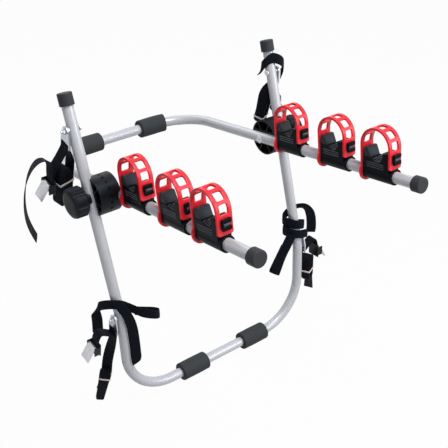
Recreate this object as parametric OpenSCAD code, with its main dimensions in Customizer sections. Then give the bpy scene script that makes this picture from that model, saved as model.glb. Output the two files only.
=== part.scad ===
// Trunk mounted bike rack with two folding frames, six cradles and four tie-down straps.
// Millimetres. +Z is up, +Y points to the vehicle, the arms reach out to -Y.
// The origin is the middle of the bottom crossbar, which rests against the vehicle.

/* [Tube] */
// Outside diameter of both frame tubes
tube_d = 25; // [22:0.5:28]
// Wall of both frame tubes
tube_wall = 1.6; // [1.2:0.1:2.5]

/* [Lower frame] */
// Half the distance between the upright axes
upright_x = 270; // [250:1:290]
// Height of the upright tube above the hinge
upright_top = 220; // [200:1:240]
// Straight length of the upright below the hinge
upright_drop = 295; // [285:1:310]
// Angle by which the bottom of the frame is set toward the vehicle
toe_angle = 13.4; // [5:0.1:20]
// Centre-line radius of the forward bend
toe_bend_r = 80; // [60:1:100]
// Height of the bottom loop below the forward bend
toe_drop = 207; // [185:1:230]
// Centre-line radius of the two bottom corners
lower_bend_r = 121; // [80:1:140]
// Lean of the uprights toward the vehicle
lower_lean = 15.8; // [0:0.1:25]

/* [Upper frame] */
// Half the distance between the arm axes
arm_x = 214; // [200:1:222]
// Length of an arm tube from the hinge to its open end
arm_len = 490; // [470:1:520]
// Distance from the hinge to the top crossbar
top_reach = 324; // [300:1:340]
// Centre-line radius of the two top corners
upper_bend_r = 105; // [60:1:110]
// Rise of the arms above level
arm_rise = 7.9; // [0:0.1:20]

/* [Pads and caps] */
// Outside diameter of the crossbar pads
pad_d = 46; // [40:0.5:52]
// Length of a crossbar pad
pad_len = 78; // [60:1:90]
// Middle of the left pad on the bottom crossbar
lower_pad_left_x = -85; // [-112:1:-60]
// Middle of the right pad on the bottom crossbar
lower_pad_right_x = 110; // [60:1:112]
// Middle of both pads on the top crossbar, from the centre
upper_pad_x = 98; // [60:1:100]
// Outside diameter of the cap on an upright
upright_cap_d = 32; // [30:0.5:36]
// Length of the cap on an upright
upright_cap_len = 26; // [20:1:32]
// Outside diameter of the cap on an arm
arm_cap_d = 34; // [30:0.5:38]
// Length of the cap on an arm
arm_cap_len = 21; // [16:1:30]
// Thickness of the closed end of a cap
cap_end = 3; // [2:0.5:5]

/* [Hinge hub] */
// Outside diameter of the hub
hub_d = 86; // [78:1:90]
// Wall of the moulded hub shell
hub_wall = 3.5; // [2.5:0.5:5]
// Depth of the hollow in each hub half
hub_hollow = 17; // [10:1:18]
// Set-back of each hub end from the middle of its tube
hub_setback = 3; // [1:0.5:6]
// Width of the saddle block that holds a tube
saddle_w = 34; // [30:1:40]
// Notches round the rim of each half
hub_notches = 18; // [12:1:24]
// Axial depth of a notch
notch_depth = 3; // [1.5:0.5:5]
// Diameter of the hinge bolt
hinge_bolt_d = 8; // [6:0.5:8]
// Diameter of the dome head of the hinge bolt
hinge_head_d = 20; // [16:0.5:22]

/* [Knob] */
// Diameter of the knob
knob_d = 67; // [58:1:72]
// Length of the knob along the bolt
knob_len = 34; // [28:1:40]
// Finger grooves round the knob
knob_grooves = 8; // [6:1:10]
// Diameter of the threaded insert
insert_d = 16; // [14:0.5:20]
// Length of the threaded insert
insert_len = 16; // [12:1:20]
// Diameter of the saddle washer
washer_d = 30; // [28:0.5:34]

/* [Cradle] */
// Distance of the first left strap ring from the hinge
cradle_left_1 = 69; // [58:1:80]
// Distance of the second left strap ring from the hinge
cradle_left_2 = 210; // [190:1:220]
// Distance of the third left strap ring from the hinge
cradle_left_3 = 323; // [315:1:360]
// Distance of the first right strap ring from the hinge
cradle_right_1 = 68; // [58:1:80]
// Distance of the second right strap ring from the hinge
cradle_right_2 = 214; // [190:1:220]
// Distance of the third right strap ring from the hinge
cradle_right_3 = 342; // [320:1:360]
// Outside diameter of the cradle sleeve
sleeve_d = 34; // [31:0.5:38]
// Length of the cradle sleeve
sleeve_len = 76; // [72:1:80]
// Width of the cradle body across the arm
cradle_w = 32; // [28:0.5:34]
// Radius of the saddle for the bicycle tube
saddle_r = 17; // [14:0.5:17.5]
// Height of the saddle axis above the arm axis
saddle_z = 45; // [43:0.5:47]
// Height of the strap peg above the arm axis
peg_z = 40; // [38:0.5:42]
// Width of the neck of the strap peg
peg_w = 17; // [14:0.5:18]
// Height of the neck of the strap peg
peg_h = 14; // [12:0.5:16]

/* [Strap] */
// Width of a cradle strap
strap_w = 35; // [32:0.5:38]
// Thickness of a cradle strap
strap_t = 4.5; // [3:0.25:5]
// Diameter of the strap ring round the arm
ring_d = 45; // [40:0.5:48]
// Height at which the strap starts to arch
strap_rise = 61; // [58:0.5:66]
// Centre-line radius of the arch
arch_r = 38; // [37.5:0.25:39]
// Side of a hole in the strap
hole_side = 19; // [15:0.5:20]
// Spacing of the holes along the strap
hole_pitch = 26; // [24:0.5:28]

/* [Tie-down] */
// Width of the webbing
web_w = 25; // [20:0.5:26]
// Thickness of the webbing
web_t = 1.6; // [1.2:0.1:1.8]
// Height of the upper anchor bolts above the hinge
anchor_up = 148; // [135:1:160]
// Depth of the lower anchor bolts below the hinge
anchor_down = 282; // [275:1:283]
// Diameter of an anchor bolt
anchor_bolt_d = 6; // [5:0.5:6]
// Thickness of the shackle plate
shackle_t = 3; // [2:0.25:4]
// Distance from the anchor bolt to the shackle bar
shackle_drop = 36; // [34:1:42]
// Half the swing of a shackle plate in its slot, as clearance on the bolt
shackle_clear = 0.35; // [0.3:0.05:0.5]
// Diameter of the buckle pin
pin_d = 5; // [4:0.5:6]
// Length of the buckle lever plate
lever_len = 34; // [28:1:38]

/* [Fits] */
// Radial clearance of a moulded piece on its tube
slip = 0.05; // [0.02:0.01:0.1]
// Radial clearance of a strap ring on the arm
ring_clear = 0.35; // [0.3:0.05:0.6]
// Radial clearance of the hinge bolt in the pieces that it turns in
bolt_clear = 0.4; // [0.3:0.05:0.6]
// Radial clearance of a turning fit
run_clear = 0.05; // [0.02:0.01:0.09]
// Gap between pieces that move past each other
move_gap = 0.3; // [0.3:0.05:0.6]

/* [Hidden] */
$fn = 64;

tube_r = tube_d / 2;
hub_r = hub_d / 2;
// Distance between the upright axis and the arm axis on one side
hinge_span = upright_x - arm_x;
// The bottom loop runs on into the forward bend by the lap, smaller by the step, so that both are one tube
bend_lap = 1;
bend_step = 0.05;
// Bottom bar in the axes of the lower frame
bend_y = toe_bend_r * (1 - cos(toe_angle));
bend_z = -upright_drop - toe_bend_r * sin(toe_angle);
bar_y = bend_y + toe_drop * sin(toe_angle);
bar_z = bend_z - toe_drop * cos(toe_angle);
// Hinge axis in the axes of the part, with the bottom bar at the origin
hinge_y = -(bar_y * cos(lower_lean) + bar_z * sin(lower_lean));
hinge_z = -(bar_z * cos(lower_lean) - bar_y * sin(lower_lean));
// Outer end of the saddle washer, from the upright axis
washer_end = tube_r + 5;
knob_start = washer_end + move_gap;
// Cradle places along the arm, from the strap ring outward
cradle_start = strap_t / 2 + 1.75;
cradle_end = cradle_start + sleeve_len;
strip_v = 2 * arch_r;
peg_end = strip_v + strap_t / 2 + 6;
saddle_v = 40;
pad_seat_z = saddle_z - 10;
wall_z = saddle_z + 6;
// Outer face of the cradle body, clear of the strap strip
body_end = strip_v - strap_t / 2 - 1.5;
// Lower end of the strap strip, just above the sleeve
strip_low = sleeve_d / 2 + 0.5;
// Colours of the materials
SILVER = "silver";
RUBBER = "dimgray";
BLACK = [0.12, 0.12, 0.14];
RED = [0.9, 0.15, 0.18];
NAVY = [0.1, 0.11, 0.18];
ZINC = "lightgray";

// Webbing routes in the plane of the shackle bar, x outward negative, z up, hand-placed.
// Each route runs from the buckle up to the bar, then down to its hank.
UL_LEG = [[-34, -108], [-34, -86], [-34, -72], [-28, -52], [-14, -28]];
UL_DROP = [[10, -24], [16, -46]];
UL_HANK = [-5, -108];
UR_LEG = [[-34, -94], [-34, -72], [-34, -58], [-28, -40], [-13, -22]];
UR_DROP = [[10, -13], [25, -21]];
UR_HANK = [14, -66];
LL_LEG = [[-46, -42], [-46, -20], [-46, -6], [-38, 12], [-20, 2]];
LL_DROP = [[2, -28], [0, -74], [-4, -122]];
LL_HANK = [-18, -188];
LR_LEG = [[-51, -38], [-51, -16], [-51, -2], [-42, 14], [-20, 3]];
LR_DROP = [[3, -14], [-6, -28]];
LR_HANK = [-26, -70];
// Lean of each hanging set toward the vehicle, from plumb
UL_LEAN = 16;
UR_LEAN = 17;
LL_LEAN = 12;
LR_LEAN = -2;
// Turn of each hank about its own length, so that its face lies toward the arms
UL_TURN = 15;
UR_TURN = -25;
LL_TURN = 50;
LR_TURN = -25;
// Each hank: outer half width, half of the straight length, turns, and heights of its tie and its hook
UL_FOLD = [18, 34, 5, 14, -16];
UR_FOLD = [15, 32, 4, -26, -16];
LL_FOLD = [14, 40, 4, 36, 6];
LR_FOLD = [14, 26, 4, -8, -32];
// Pitch of the turns of a hank
HANK_PITCH = 2.4;
// Loose tail of the upper left tie-down, from its buckle, hand-placed
TAIL = [[0, 0], [0, 18], [0, 40], [-8, 58], [-26, 62], [-43, 46], [-55, 12], [-59, -36], [-56, -80], [-47, -118],
    [-32, -160]];
// Directions across a band that hangs toward the arms: plumb, level, between the two, and below level
UP = [0, -0.27, 0.96];
LEVEL = [0.78, -0.6, -0.17];
SLANT = [0.6, -0.6, 0.5];
DIP = [0.71, -0.43, -0.56];
// Radius of the upright that the wraps are placed for; they move out or in with the tube
WRAP_TUBE_R = 12.5;
// Wraps and free ends, hand-placed: points from the axis of the upright at an anchor bolt, and directions across
UR_WRAP = [concat([-9, 27, 2], SLANT), concat([-17, 12, 14], UP), concat([-17, -5, 25], UP),
    concat([-4.5, -16.3, 33], UP), concat([13, -21, 26], UP), concat([29, -15, 14], UP), concat([36, -2, 0], UP),
    concat([34, 8, -14], UP)];
LL_WRAP = [concat([-31, 74, -48], LEVEL), concat([-31, 60, -12], LEVEL), concat([-35, 45, 16], SLANT),
    concat([-33, 23, 33], UP), concat([-22, 0, 38], UP), concat([-11, -14.5, 37], UP), concat([4, -18, 31], UP),
    concat([20, -23, 18], UP), concat([40, -36, 1], UP), concat([64, -46, -10], UP), concat([78, -39, -14], UP),
    concat([75, -20, -14], UP), concat([56, -5, -9], UP), concat([36, -4, 0], UP)];
LL_DRAPE = [concat([-8, -22.5, 47], LEVEL), concat([-5, -25.5, 32], LEVEL), concat([3, -30, 9], SLANT),
    concat([10, -25, -24], LEVEL), concat([13, -14, -62], LEVEL), concat([13, -5, -101], LEVEL),
    concat([12, 1, -127], SLANT)];
LR_WRAP = [concat([44, -8, 2], LEVEL), concat([43, -16, 20], LEVEL), concat([42, -21, 50], LEVEL),
    concat([38, -18, 71], LEVEL), concat([25, -4, 80], SLANT), concat([4, 18, 70], UP), concat([-24, 14, 58], UP),
    concat([-15, -11.5, 46], UP), concat([8, -17, 36], UP), concat([26, -6, 32], UP), concat([10, 18, 32], UP),
    concat([-25, 18, 29], UP), concat([-23, -9, 21], UP), concat([-4, -22, 15], UP), concat([20, -24, 11], UP)];
LR_DRAPE = [concat([-24, -13, 19], LEVEL), concat([-36, 0, -10], DIP), concat([-44, 18, -40], DIP),
    concat([-53, 40, -84], DIP), concat([-54, 46, -92], DIP), concat([-53, 50, -86], DIP),
    concat([-41, 26, -44], DIP), concat([-33, 8, -14], DIP)];

// Axes of the lower frame: hinge axis along X, uprights along Z
module lower_axes() {
    translate([0, hinge_y, hinge_z])
        rotate([-lower_lean, 0, 0])
            children();
}

// Axes of the upper frame: hinge axis along X, arms along -Y
module upper_axes() {
    translate([0, hinge_y, hinge_z])
        rotate([-arm_rise, 0, 0])
            children();
}

// Draws for the left side, or mirrored for the right side
module sided(right) {
    mirror([right ? 1 : 0, 0, 0])
        children();
}

// Cylinder along +X from x
module rod_x(x, d, h) {
    translate([x, 0, 0])
        rotate([0, 90, 0])
            cylinder(d = d, h = h);
}

// Axes of the part of the lower frame below the forward bend
module toe_axes() {
    translate([0, bend_y, bend_z])
        rotate([toe_angle, 0, 0])
            children();
}

// Bar of diameter d that follows half of the lower frame
module lower_half_run(d) {
    translate([-upright_x, 0, -upright_drop])
        cylinder(d = d, h = upright_drop + upright_top);
    translate([-upright_x, toe_bend_r, -upright_drop])
        rotate([0, 90, 0])
            rotate([0, 0, -90])
                rotate_extrude(angle = toe_angle)
                    translate([toe_bend_r, 0])
                        circle(d = d);
    toe_axes() {
        translate([-upright_x, 0, lower_bend_r - toe_drop])
            cylinder(d = d - 2 * bend_step, h = toe_drop - lower_bend_r + bend_lap);
        translate([lower_bend_r - upright_x, 0, lower_bend_r - toe_drop])
            rotate([0, 180, 0])
                rotate([90, 0, 0])
                    rotate_extrude(angle = 90)
                        translate([lower_bend_r, 0])
                            circle(d = d - 2 * bend_step);
        translate([0, 0, -toe_drop])
            rod_x(lower_bend_r - upright_x, d - 2 * bend_step, upright_x - lower_bend_r);
    }
}

// Bar of diameter d that follows half of the upper frame
module upper_half_run(d) {
    translate([-arm_x, top_reach - upper_bend_r, 0])
        rotate([90, 0, 0])
            cylinder(d = d, h = top_reach - upper_bend_r + arm_len);
    translate([upper_bend_r - arm_x, top_reach - upper_bend_r, 0])
        rotate([0, 0, 90])
            rotate_extrude(angle = 90)
                translate([upper_bend_r, 0])
                    circle(d = d);
    translate([0, top_reach, 0])
        rod_x(upper_bend_r - arm_x, d, arm_x - upper_bend_r);
}

// Holes along X for a bolt, through the tube on one side
module cross_hole(x, z, d) {
    translate([0, 0, z])
        rod_x(x - tube_d, d, 2 * tube_d);
}

module lower_tube() {
    color(SILVER)
        lower_axes()
            difference() {
                union() {
                    lower_half_run(tube_d);
                    sided(true) lower_half_run(tube_d);
                }
                lower_half_run(tube_d - 2 * tube_wall);
                sided(true) lower_half_run(tube_d - 2 * tube_wall);
                for (right = [false, true]) {
                    sided(right) cross_hole(-upright_x, 0, hinge_bolt_d + 2 * bolt_clear);
                    sided(right) cross_hole(-upright_x, anchor_up, anchor_bolt_d + 2 * slip);
                    sided(right) cross_hole(-upright_x, -anchor_down, anchor_bolt_d + 2 * slip);
                }
            }
}

module upper_tube() {
    color(SILVER)
        upper_axes()
            difference() {
                union() {
                    upper_half_run(tube_d);
                    sided(true) upper_half_run(tube_d);
                }
                upper_half_run(tube_d - 2 * tube_wall);
                sided(true) upper_half_run(tube_d - 2 * tube_wall);
                for (right = [false, true])
                    sided(right) cross_hole(-arm_x, 0, hinge_bolt_d + 2 * slip);
            }
}

// Cup with a bevelled end, open toward -Z, its inner end at z = 0
module end_cup(d, len) {
    difference() {
        rotate_extrude()
            polygon([[0, cap_end - len], [d / 2, cap_end - len], [d / 2, cap_end - 2],
                [d / 2 - 0.6, cap_end - 0.6], [d / 2 - 2, cap_end], [0, cap_end]]);
        translate([0, 0, -len])
            cylinder(d = tube_d + 2 * slip, h = len);
    }
}

module upright_cap(right) {
    color(RUBBER)
        lower_axes()
            sided(right)
                translate([-upright_x, 0, upright_top])
                    end_cup(upright_cap_d, upright_cap_len);
}

module arm_cap(right) {
    color(RUBBER)
        upper_axes()
            sided(right)
                translate([-arm_x, -arm_len, 0])
                    rotate([90, 0, 0])
                        end_cup(arm_cap_d, arm_cap_len);
}

// Solid pad along X with bevelled ends, middle at x
module pad_blank(x) {
    translate([x, 0, 0])
        rotate([0, 90, 0])
            rotate_extrude()
                polygon([[0, -pad_len / 2], [pad_d / 2 - 2, -pad_len / 2],
                    [pad_d / 2, 2 - pad_len / 2], [pad_d / 2, pad_len / 2 - 2],
                    [pad_d / 2 - 2, pad_len / 2], [0, pad_len / 2]]);
}

// The bore of a pad follows the tube, also where the bend begins inside the pad
module lower_pad(x) {
    color(RUBBER)
        lower_axes()
            difference() {
                toe_axes()
                    translate([0, 0, -toe_drop])
                        pad_blank(x);
                sided(x > 0)
                    lower_half_run(tube_d + 2 * slip);
            }
}

module upper_pad(x) {
    color(RUBBER)
        upper_axes()
            difference() {
                translate([0, top_reach, 0])
                    pad_blank(x);
                sided(x > 0)
                    upper_half_run(tube_d + 2 * slip);
            }
}

// Notches round the rim at the seam, cut toward +X from x
module rim_notches(x) {
    for (i = [0 : hub_notches - 1])
        rotate([i * 360 / hub_notches, 0, 0])
            translate([x, hub_r - 3, -2.5])
                cube([notch_depth + 1, 6, 5]);
}

// Hollow moulded half: open toward -X at x = 0, its web toward the seam, saddle block along Z
module hub_half(len) {
    difference() {
        rod_x(0, hub_d, len);
        difference() {
            rod_x(-1, hub_d - 2 * hub_wall, hub_hollow + 1);
            translate([-2, -saddle_w / 2, -hub_r])
                cube([hub_hollow + 3, saddle_w, hub_d]);
            for (a = [-60, -30, 30, 60])
                rotate([a + 90, 0, 0])
                    translate([-2, -1.25, -hub_r])
                        cube([hub_hollow + 3, 2.5, hub_d]);
        }
        translate([-hub_setback, 0, -hub_d])
            cylinder(d = tube_d + 2 * slip, h = 2 * hub_d);
    }
}

module hub_outer(right) {
    len = (hinge_span - move_gap) / 2 - hub_setback;
    color(BLACK)
        lower_axes()
            sided(right)
                translate([hub_setback - upright_x, 0, 0])
                    difference() {
                        hub_half(len);
                        rod_x(-1, hinge_bolt_d + 2 * bolt_clear, len + 2);
                        rim_notches(len - notch_depth);
                    }
}

module hub_inner(right) {
    len = (hinge_span - move_gap) / 2 - hub_setback;
    color(BLACK)
        upper_axes()
            sided(right)
                translate([-arm_x - hub_setback, 0, 0])
                    rotate([0, 0, 180])
                        rotate([90, 0, 0])
                            difference() {
                                hub_half(len);
                                rod_x(-1, hinge_bolt_d + 2 * slip, len + 2);
                                rim_notches(len - notch_depth);
                            }
}

module hinge_bolts() {
    reach = hinge_span + tube_r + washer_end + 24;
    // The head is 5 high and part of a sphere
    dome_r = (hinge_head_d * hinge_head_d / 4 + 25) / 10;
    dome_a = asin(hinge_head_d / 2 / dome_r);
    color(ZINC)
        upper_axes()
            for (right = [false, true])
                sided(right)
                    translate([tube_r - arm_x, 0, 0])
                        rotate([0, 90, 0])
                            rotate_extrude()
                                polygon(concat([[0, -reach], [hinge_bolt_d / 2, -reach], [hinge_bolt_d / 2, 0]],
                                    [for (i = [0 : 8]) let (a = dome_a * (1 - i / 8))
                                        [dome_r * sin(a), 5 - dome_r + dome_r * cos(a)]]));
}

module saddle_washers() {
    color(BLACK)
        lower_axes()
            for (right = [false, true])
                sided(right)
                    translate([-upright_x, 0, 0])
                        difference() {
                            rod_x(-washer_end, washer_d, washer_end - tube_r / 3);
                            translate([0, 0, -washer_d])
                                cylinder(d = tube_d + 2 * slip, h = 2 * washer_d);
                            rod_x(-washer_end - 1, hinge_bolt_d + 2 * bolt_clear, washer_end);
                        }
}

// Knob with a domed outer end, finger grooves and a pocket for its insert
module knob(right) {
    r = knob_d / 2;
    color(BLACK)
        upper_axes()
            sided(right)
                translate([-upright_x - knob_start, 0, 0])
                    rotate([0, -90, 0])
                        difference() {
                            rotate_extrude()
                                polygon([[0, 0], [r - 4, 0], [r, 4], [r, knob_len - 9],
                                    [r - 2, knob_len - 4], [r - 7, knob_len - 1], [r - 12, knob_len], [0, knob_len]]);
                            for (i = [0 : knob_grooves - 1])
                                rotate([0, 0, i * 360 / knob_grooves])
                                    translate([r + 3.5, 0, -1])
                                        cylinder(r = 6.5, h = knob_len + 2);
                            translate([0, 0, 3])
                                cylinder(d = insert_d + 2 * slip, h = insert_len);
                            translate([0, 0, -1])
                                cylinder(d = hinge_bolt_d + 2 * bolt_clear, h = knob_len - 7);
                        }
}

module insert(right) {
    color("darkkhaki")
        upper_axes()
            sided(right)
                translate([-upright_x - knob_start, 0, 0])
                    rotate([0, -90, 0])
                        translate([0, 0, 3])
                            difference() {
                                cylinder(d = insert_d, h = insert_len);
                                translate([0, 0, -1])
                                    cylinder(d = hinge_bolt_d + 2 * run_clear, h = insert_len + 2);
                            }
}

// Axes on an arm: origin on the arm axis at the strap ring, outward along -Y
module ring_axes(right, at) {
    upper_axes()
        sided(right)
            translate([-arm_x, -at, 0])
                children();
}

// Solid of width w across the arm, from an outline of [outward, up] points
module across(w) {
    rotate([90, 0, -90])
        linear_extrude(w, center = true)
            children();
}

module cradle(right, at) {
    color(BLACK)
        ring_axes(right, at)
            difference() {
                union() {
                    translate([0, -cradle_start, 0])
                        rotate([90, 0, 0])
                            cylinder(d = sleeve_d, h = sleeve_len);
                    across(cradle_w)
                        polygon([[cradle_start + 1, 0], [cradle_start + 1, pad_seat_z], [saddle_v, pad_seat_z],
                            [saddle_v, wall_z], [body_end - 6, wall_z], [body_end, wall_z - 8],
                            [body_end, 0]]);
                    translate([-peg_w / 2, -peg_end, peg_z - peg_h / 2])
                        cube([peg_w, peg_end - body_end + 10, peg_h]);
                    across(peg_w + 3)
                        polygon([[peg_end - 4, peg_z - peg_h / 2 - 4], [peg_end + 1, peg_z - peg_h / 2 - 4],
                            [peg_end + 1, peg_z - peg_h / 2 + 3], [peg_end - 1, peg_z - 3], [peg_end - 1, peg_z + 3],
                            [peg_end + 1, peg_z + peg_h / 2 - 3], [peg_end + 1, peg_z + peg_h / 2 + 4],
                            [peg_end - 4, peg_z + peg_h / 2 + 4]]);
                }
                translate([0, 1, 0])
                    rotate([90, 0, 0])
                        cylinder(d = tube_d + 2 * slip, h = 2 * sleeve_len);
                translate([0, -saddle_v, saddle_z])
                    rod_x(-cradle_w, 2 * saddle_r, 2 * cradle_w);
            }
}

// Sloped block on the vehicle side of a saddle
module cradle_pads() {
    face_v = saddle_v - sqrt(saddle_r * saddle_r - (saddle_z - pad_seat_z) * (saddle_z - pad_seat_z));
    color(RUBBER)
        for (spot = [[false, cradle_left_1], [false, cradle_left_2], [false, cradle_left_3],
            [true, cradle_right_1], [true, cradle_right_2], [true, cradle_right_3]])
            ring_axes(spot[0], spot[1])
                across(cradle_w - 2)
                    polygon([[cradle_start + 1.5, pad_seat_z], [cradle_start + 1.5, pad_seat_z + 18],
                        [cradle_start + 4, pad_seat_z + 20.5], [cradle_start + 10.5, pad_seat_z + 20.5],
                        [cradle_start + 12, pad_seat_z + 19], [face_v - 3, pad_seat_z + 1],
                        [face_v - 3, pad_seat_z]]);
}

// Square with rounded corners, centred
module soft_square(w, h, r) {
    square([w - 2 * r, h], center = true);
    square([w, h - 2 * r], center = true);
    for (x = [-1, 1], y = [-1, 1])
        translate([x * (w / 2 - r), y * (h / 2 - r)])
            circle(r = r);
}

// Cutter for one hole, through the strap along -Y
module strap_hole(h) {
    rotate([90, 0, 0])
        linear_extrude(4 * strap_t, center = true)
            soft_square(hole_side, h, 3.5);
}

// Strap: a ring round the arm, a rise, an arch over the saddle and a strip hooked on the peg
module strap(right, at) {
    first = hole_pitch - (strap_rise - peg_z);
    color(RED)
        ring_axes(right, at)
            difference() {
                union() {
                    rotate([90, 0, 0])
                        linear_extrude(strap_t, center = true) {
                            circle(d = ring_d);
                            translate([-strap_w / 2, 0])
                                square([strap_w, strap_rise]);
                        }
                    across(strap_w)
                        intersection() {
                            difference() {
                                translate([arch_r, strap_rise])
                                    circle(r = arch_r + strap_t / 2);
                                translate([arch_r, strap_rise])
                                    circle(r = arch_r - strap_t / 2);
                            }
                            translate([-strap_t, strap_rise])
                                square([2 * arch_r + 2 * strap_t, 2 * arch_r]);
                        }
                    translate([0, -strip_v, (strap_rise + strip_low) / 2])
                        rotate([90, 0, 0])
                            linear_extrude(strap_t, center = true) {
                                soft_square(strap_w, strap_rise - strip_low, 5);
                                translate([0, (strap_rise - strip_low) / 4])
                                    square([strap_w, (strap_rise - strip_low) / 2], center = true);
                            }
                }
                translate([0, strap_t, 0])
                    rotate([90, 0, 0])
                        cylinder(d = tube_d + 2 * ring_clear, h = 2 * strap_t);
                translate([0, -strip_v, peg_z])
                    rotate([90, 0, 0])
                        linear_extrude(4 * strap_t, center = true)
                            soft_square(max(hole_side, peg_w + 2.6), max(hole_side, peg_h + 2.6), 3.5);
                for (i = [0 : 4])
                    translate([0, -arch_r, strap_rise])
                        rotate([-(first + i * hole_pitch) / arch_r * 180 / PI, 0, 0])
                            translate([0, -arch_r, 0])
                                strap_hole(hole_side);
            }
}

// Axes of a tie-down set: origin on the anchor bolt, x outward negative, hanging down
module anchor_axes(right, at, lean) {
    lower_axes()
        sided(right)
            translate([-upright_x, 0, at])
                rotate([lower_lean + lean, 0, 0])
                    children();
}

plate_x = -tube_r - 3 - shackle_t / 2;
// Height of the bar of a shackle below its slot
bar_h = 6;

// Draws at the four anchors, which only turn with the frame
module at_anchors() {
    for (right = [false, true], at = [anchor_up, -anchor_down])
        lower_axes()
            sided(right)
                translate([-upright_x, 0, at])
                    children();
}

module anchor_bolts() {
    end = plate_x - shackle_t / 2 - 10;
    color(ZINC)
        at_anchors() {
            rod_x(end, anchor_bolt_d, tube_r + 1 - end);
            rod_x(tube_r, 2.2 * anchor_bolt_d, 3);
        }
}

module anchor_nuts() {
    color(ZINC)
        at_anchors()
            translate([plate_x - shackle_t / 2 - move_gap, 0, 0])
                rotate([0, -90, 0])
                    difference() {
                        cylinder(d = 2 * anchor_bolt_d, h = 5.5, $fn = 6);
                        translate([0, 0, -1])
                            cylinder(d = anchor_bolt_d + 2 * slip, h = 8);
                    }
}

module anchor_spacers() {
    color(ZINC)
        at_anchors()
            difference() {
                rod_x(plate_x + shackle_t / 2 + move_gap, 13, 8);
                rod_x(-2 * tube_d, anchor_bolt_d + 2 * slip, 4 * tube_d);
                cylinder(d = tube_d + 2 * slip, h = 20, center = true);
            }
}

// Flat plate that hangs on the anchor bolt, with a slot and a bar for the webbing
module shackle(right, at, lean) {
    half = web_w / 2 + 5;
    color(ZINC)
        anchor_axes(right, at, lean)
            translate([plate_x, 0, 0])
                rotate([90, 0, 90])
                    linear_extrude(shackle_t, center = true)
                        difference() {
                            union() {
                                circle(r = 11);
                                polygon([[-11, 0], [-half, 14 - shackle_drop], [-half, -bar_h / 2 - shackle_drop],
                                    [half, -bar_h / 2 - shackle_drop], [half, 14 - shackle_drop], [11, 0]]);
                            }
                            circle(d = anchor_bolt_d + 2 * shackle_clear);
                            translate([-web_w / 2 - 1.5, bar_h / 2 - shackle_drop])
                                square([web_w + 3, 2 * web_t + 2]);
                        }
}

// Axes of the shackle bar of one set
module bar_axes(right, at, lean) {
    anchor_axes(right, at, lean)
        translate([plate_x, 0, -shackle_drop])
            children();
}

// Points of a smooth curve through p, n steps a span
function spline(p, n) = [for (i = [0 : len(p) - 2], k = [0 : n - 1])
    let (a = p[max(i - 1, 0)], b = p[i], c = p[i + 1], d = p[min(i + 2, len(p) - 1)], t = k / n)
    0.5 * (2 * b + (c - a) * t + (2 * a - 5 * b + 4 * c - d) * t * t + (3 * b - a - 3 * c + d) * t * t * t)];

function unit(v) = v / norm(v);

// Unit normal of the path p at point i
function side_of(p, i) = let (v = unit(p[min(i + 1, len(p) - 1)] - p[max(i - 1, 0)])) [-v[1], v[0]];

// Outline of a band of thickness t along the path p
function band_outline(p, t) = concat([for (i = [0 : len(p) - 1]) p[i] + side_of(p, i) * t / 2],
    [for (i = [len(p) - 1 : -1 : 0]) p[i] - side_of(p, i) * t / 2]);

// Flat band along the path p of [x, z] points, its width along Y
module band(p, w = web_w) {
    rotate([90, 0, 0])
        linear_extrude(w, center = true)
            polygon(band_outline(p, web_t));
}

// Least gap of a band to itself, between points more than six apart
function self_gap(p) = min([for (i = [0 : len(p) - 8], j = [i + 7 : len(p) - 1]) norm(p[i] - p[j])]) - web_t;

// Turns of a hank round its centre c, from its outer right side inward
function hank(c, fold) = [for (k = [0 : fold[2] * 20])
    let (a = -18 * k, r = fold[0] - HANK_PITCH * k / 20, up = sin(a) > 0.001 || (k > 0 && k % 20 == 0))
    c + [r * cos(a), (up ? fold[1] : -fold[1]) + r * sin(a)]];

// Turn over the shackle bar, from its outer to its inner side
bar_turn = let (x = shackle_t / 2, z = bar_h / 2, r = 0.1 + web_t / 2, q = r * cos(45))
    [[-x - r, -2], [-x - r, z], [-x - q, z + q], [-x, z + r], [x, z + r], [x + q, z + q], [x + r, z], [x + r, -2]];

// Whole route of one tie-down: up the leg, over the bar, down to the hank
function route(leg, drop, c, fold) = concat(
    spline(concat(leg, [bar_turn[0] - [1.5, 7], bar_turn[0]]), 5), [for (i = [0 : 6]) bar_turn[i]],
    spline(concat([bar_turn[7]], drop, [c + [fold[0], fold[1]]]), 5), [c + [fold[0], fold[1]]], hank(c, fold));

// Share of a hank's turn that is reached at point i of its route: none up to the bar, all of it at the hank
function turned(path, i, legs, c, fold) = i < legs ? 0
    : let (t = min(max((-4 - path[i][1]) / (-4 - c[1] - fold[1] - fold[0]), 0), 1)) t * t * (3 - 2 * t);

// Station of a hanging set, turned by a about the length of its hank at x
function station(p, x, a) = [x + (p[0] - x) * cos(a), (p[0] - x) * sin(a), p[1], -sin(a), cos(a), 0];

module webbing(right, at, lean, leg, drop, c, fold, turn) {
    path = route(leg, drop, c, fold);
    legs = 5 * len(leg) + 12;
    echo(str("least gap of the webbing to itself, mm: ", self_gap(path)));
    color(NAVY)
        bar_axes(right, at, lean)
            ribbon([for (i = [0 : len(path) - 1]) station(path[i], c[0], turn * turned(path, i, legs, c, fold))], 1);
}

// Axes of a hanging set, turned with its hank
module hank_axes(right, at, lean, c, turn) {
    bar_axes(right, at, lean)
        translate([c[0], 0, c[1]])
            rotate([0, 0, turn])
                children();
}

// Axes of a buckle at the lower end of a webbing leg
module buckle_axes(right, at, lean, leg) {
    bar_axes(right, at, lean)
        translate([leg[0][0], 0, leg[0][1] + 14])
            children();
}

pin_x = -web_t / 2 - 7;

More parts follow.
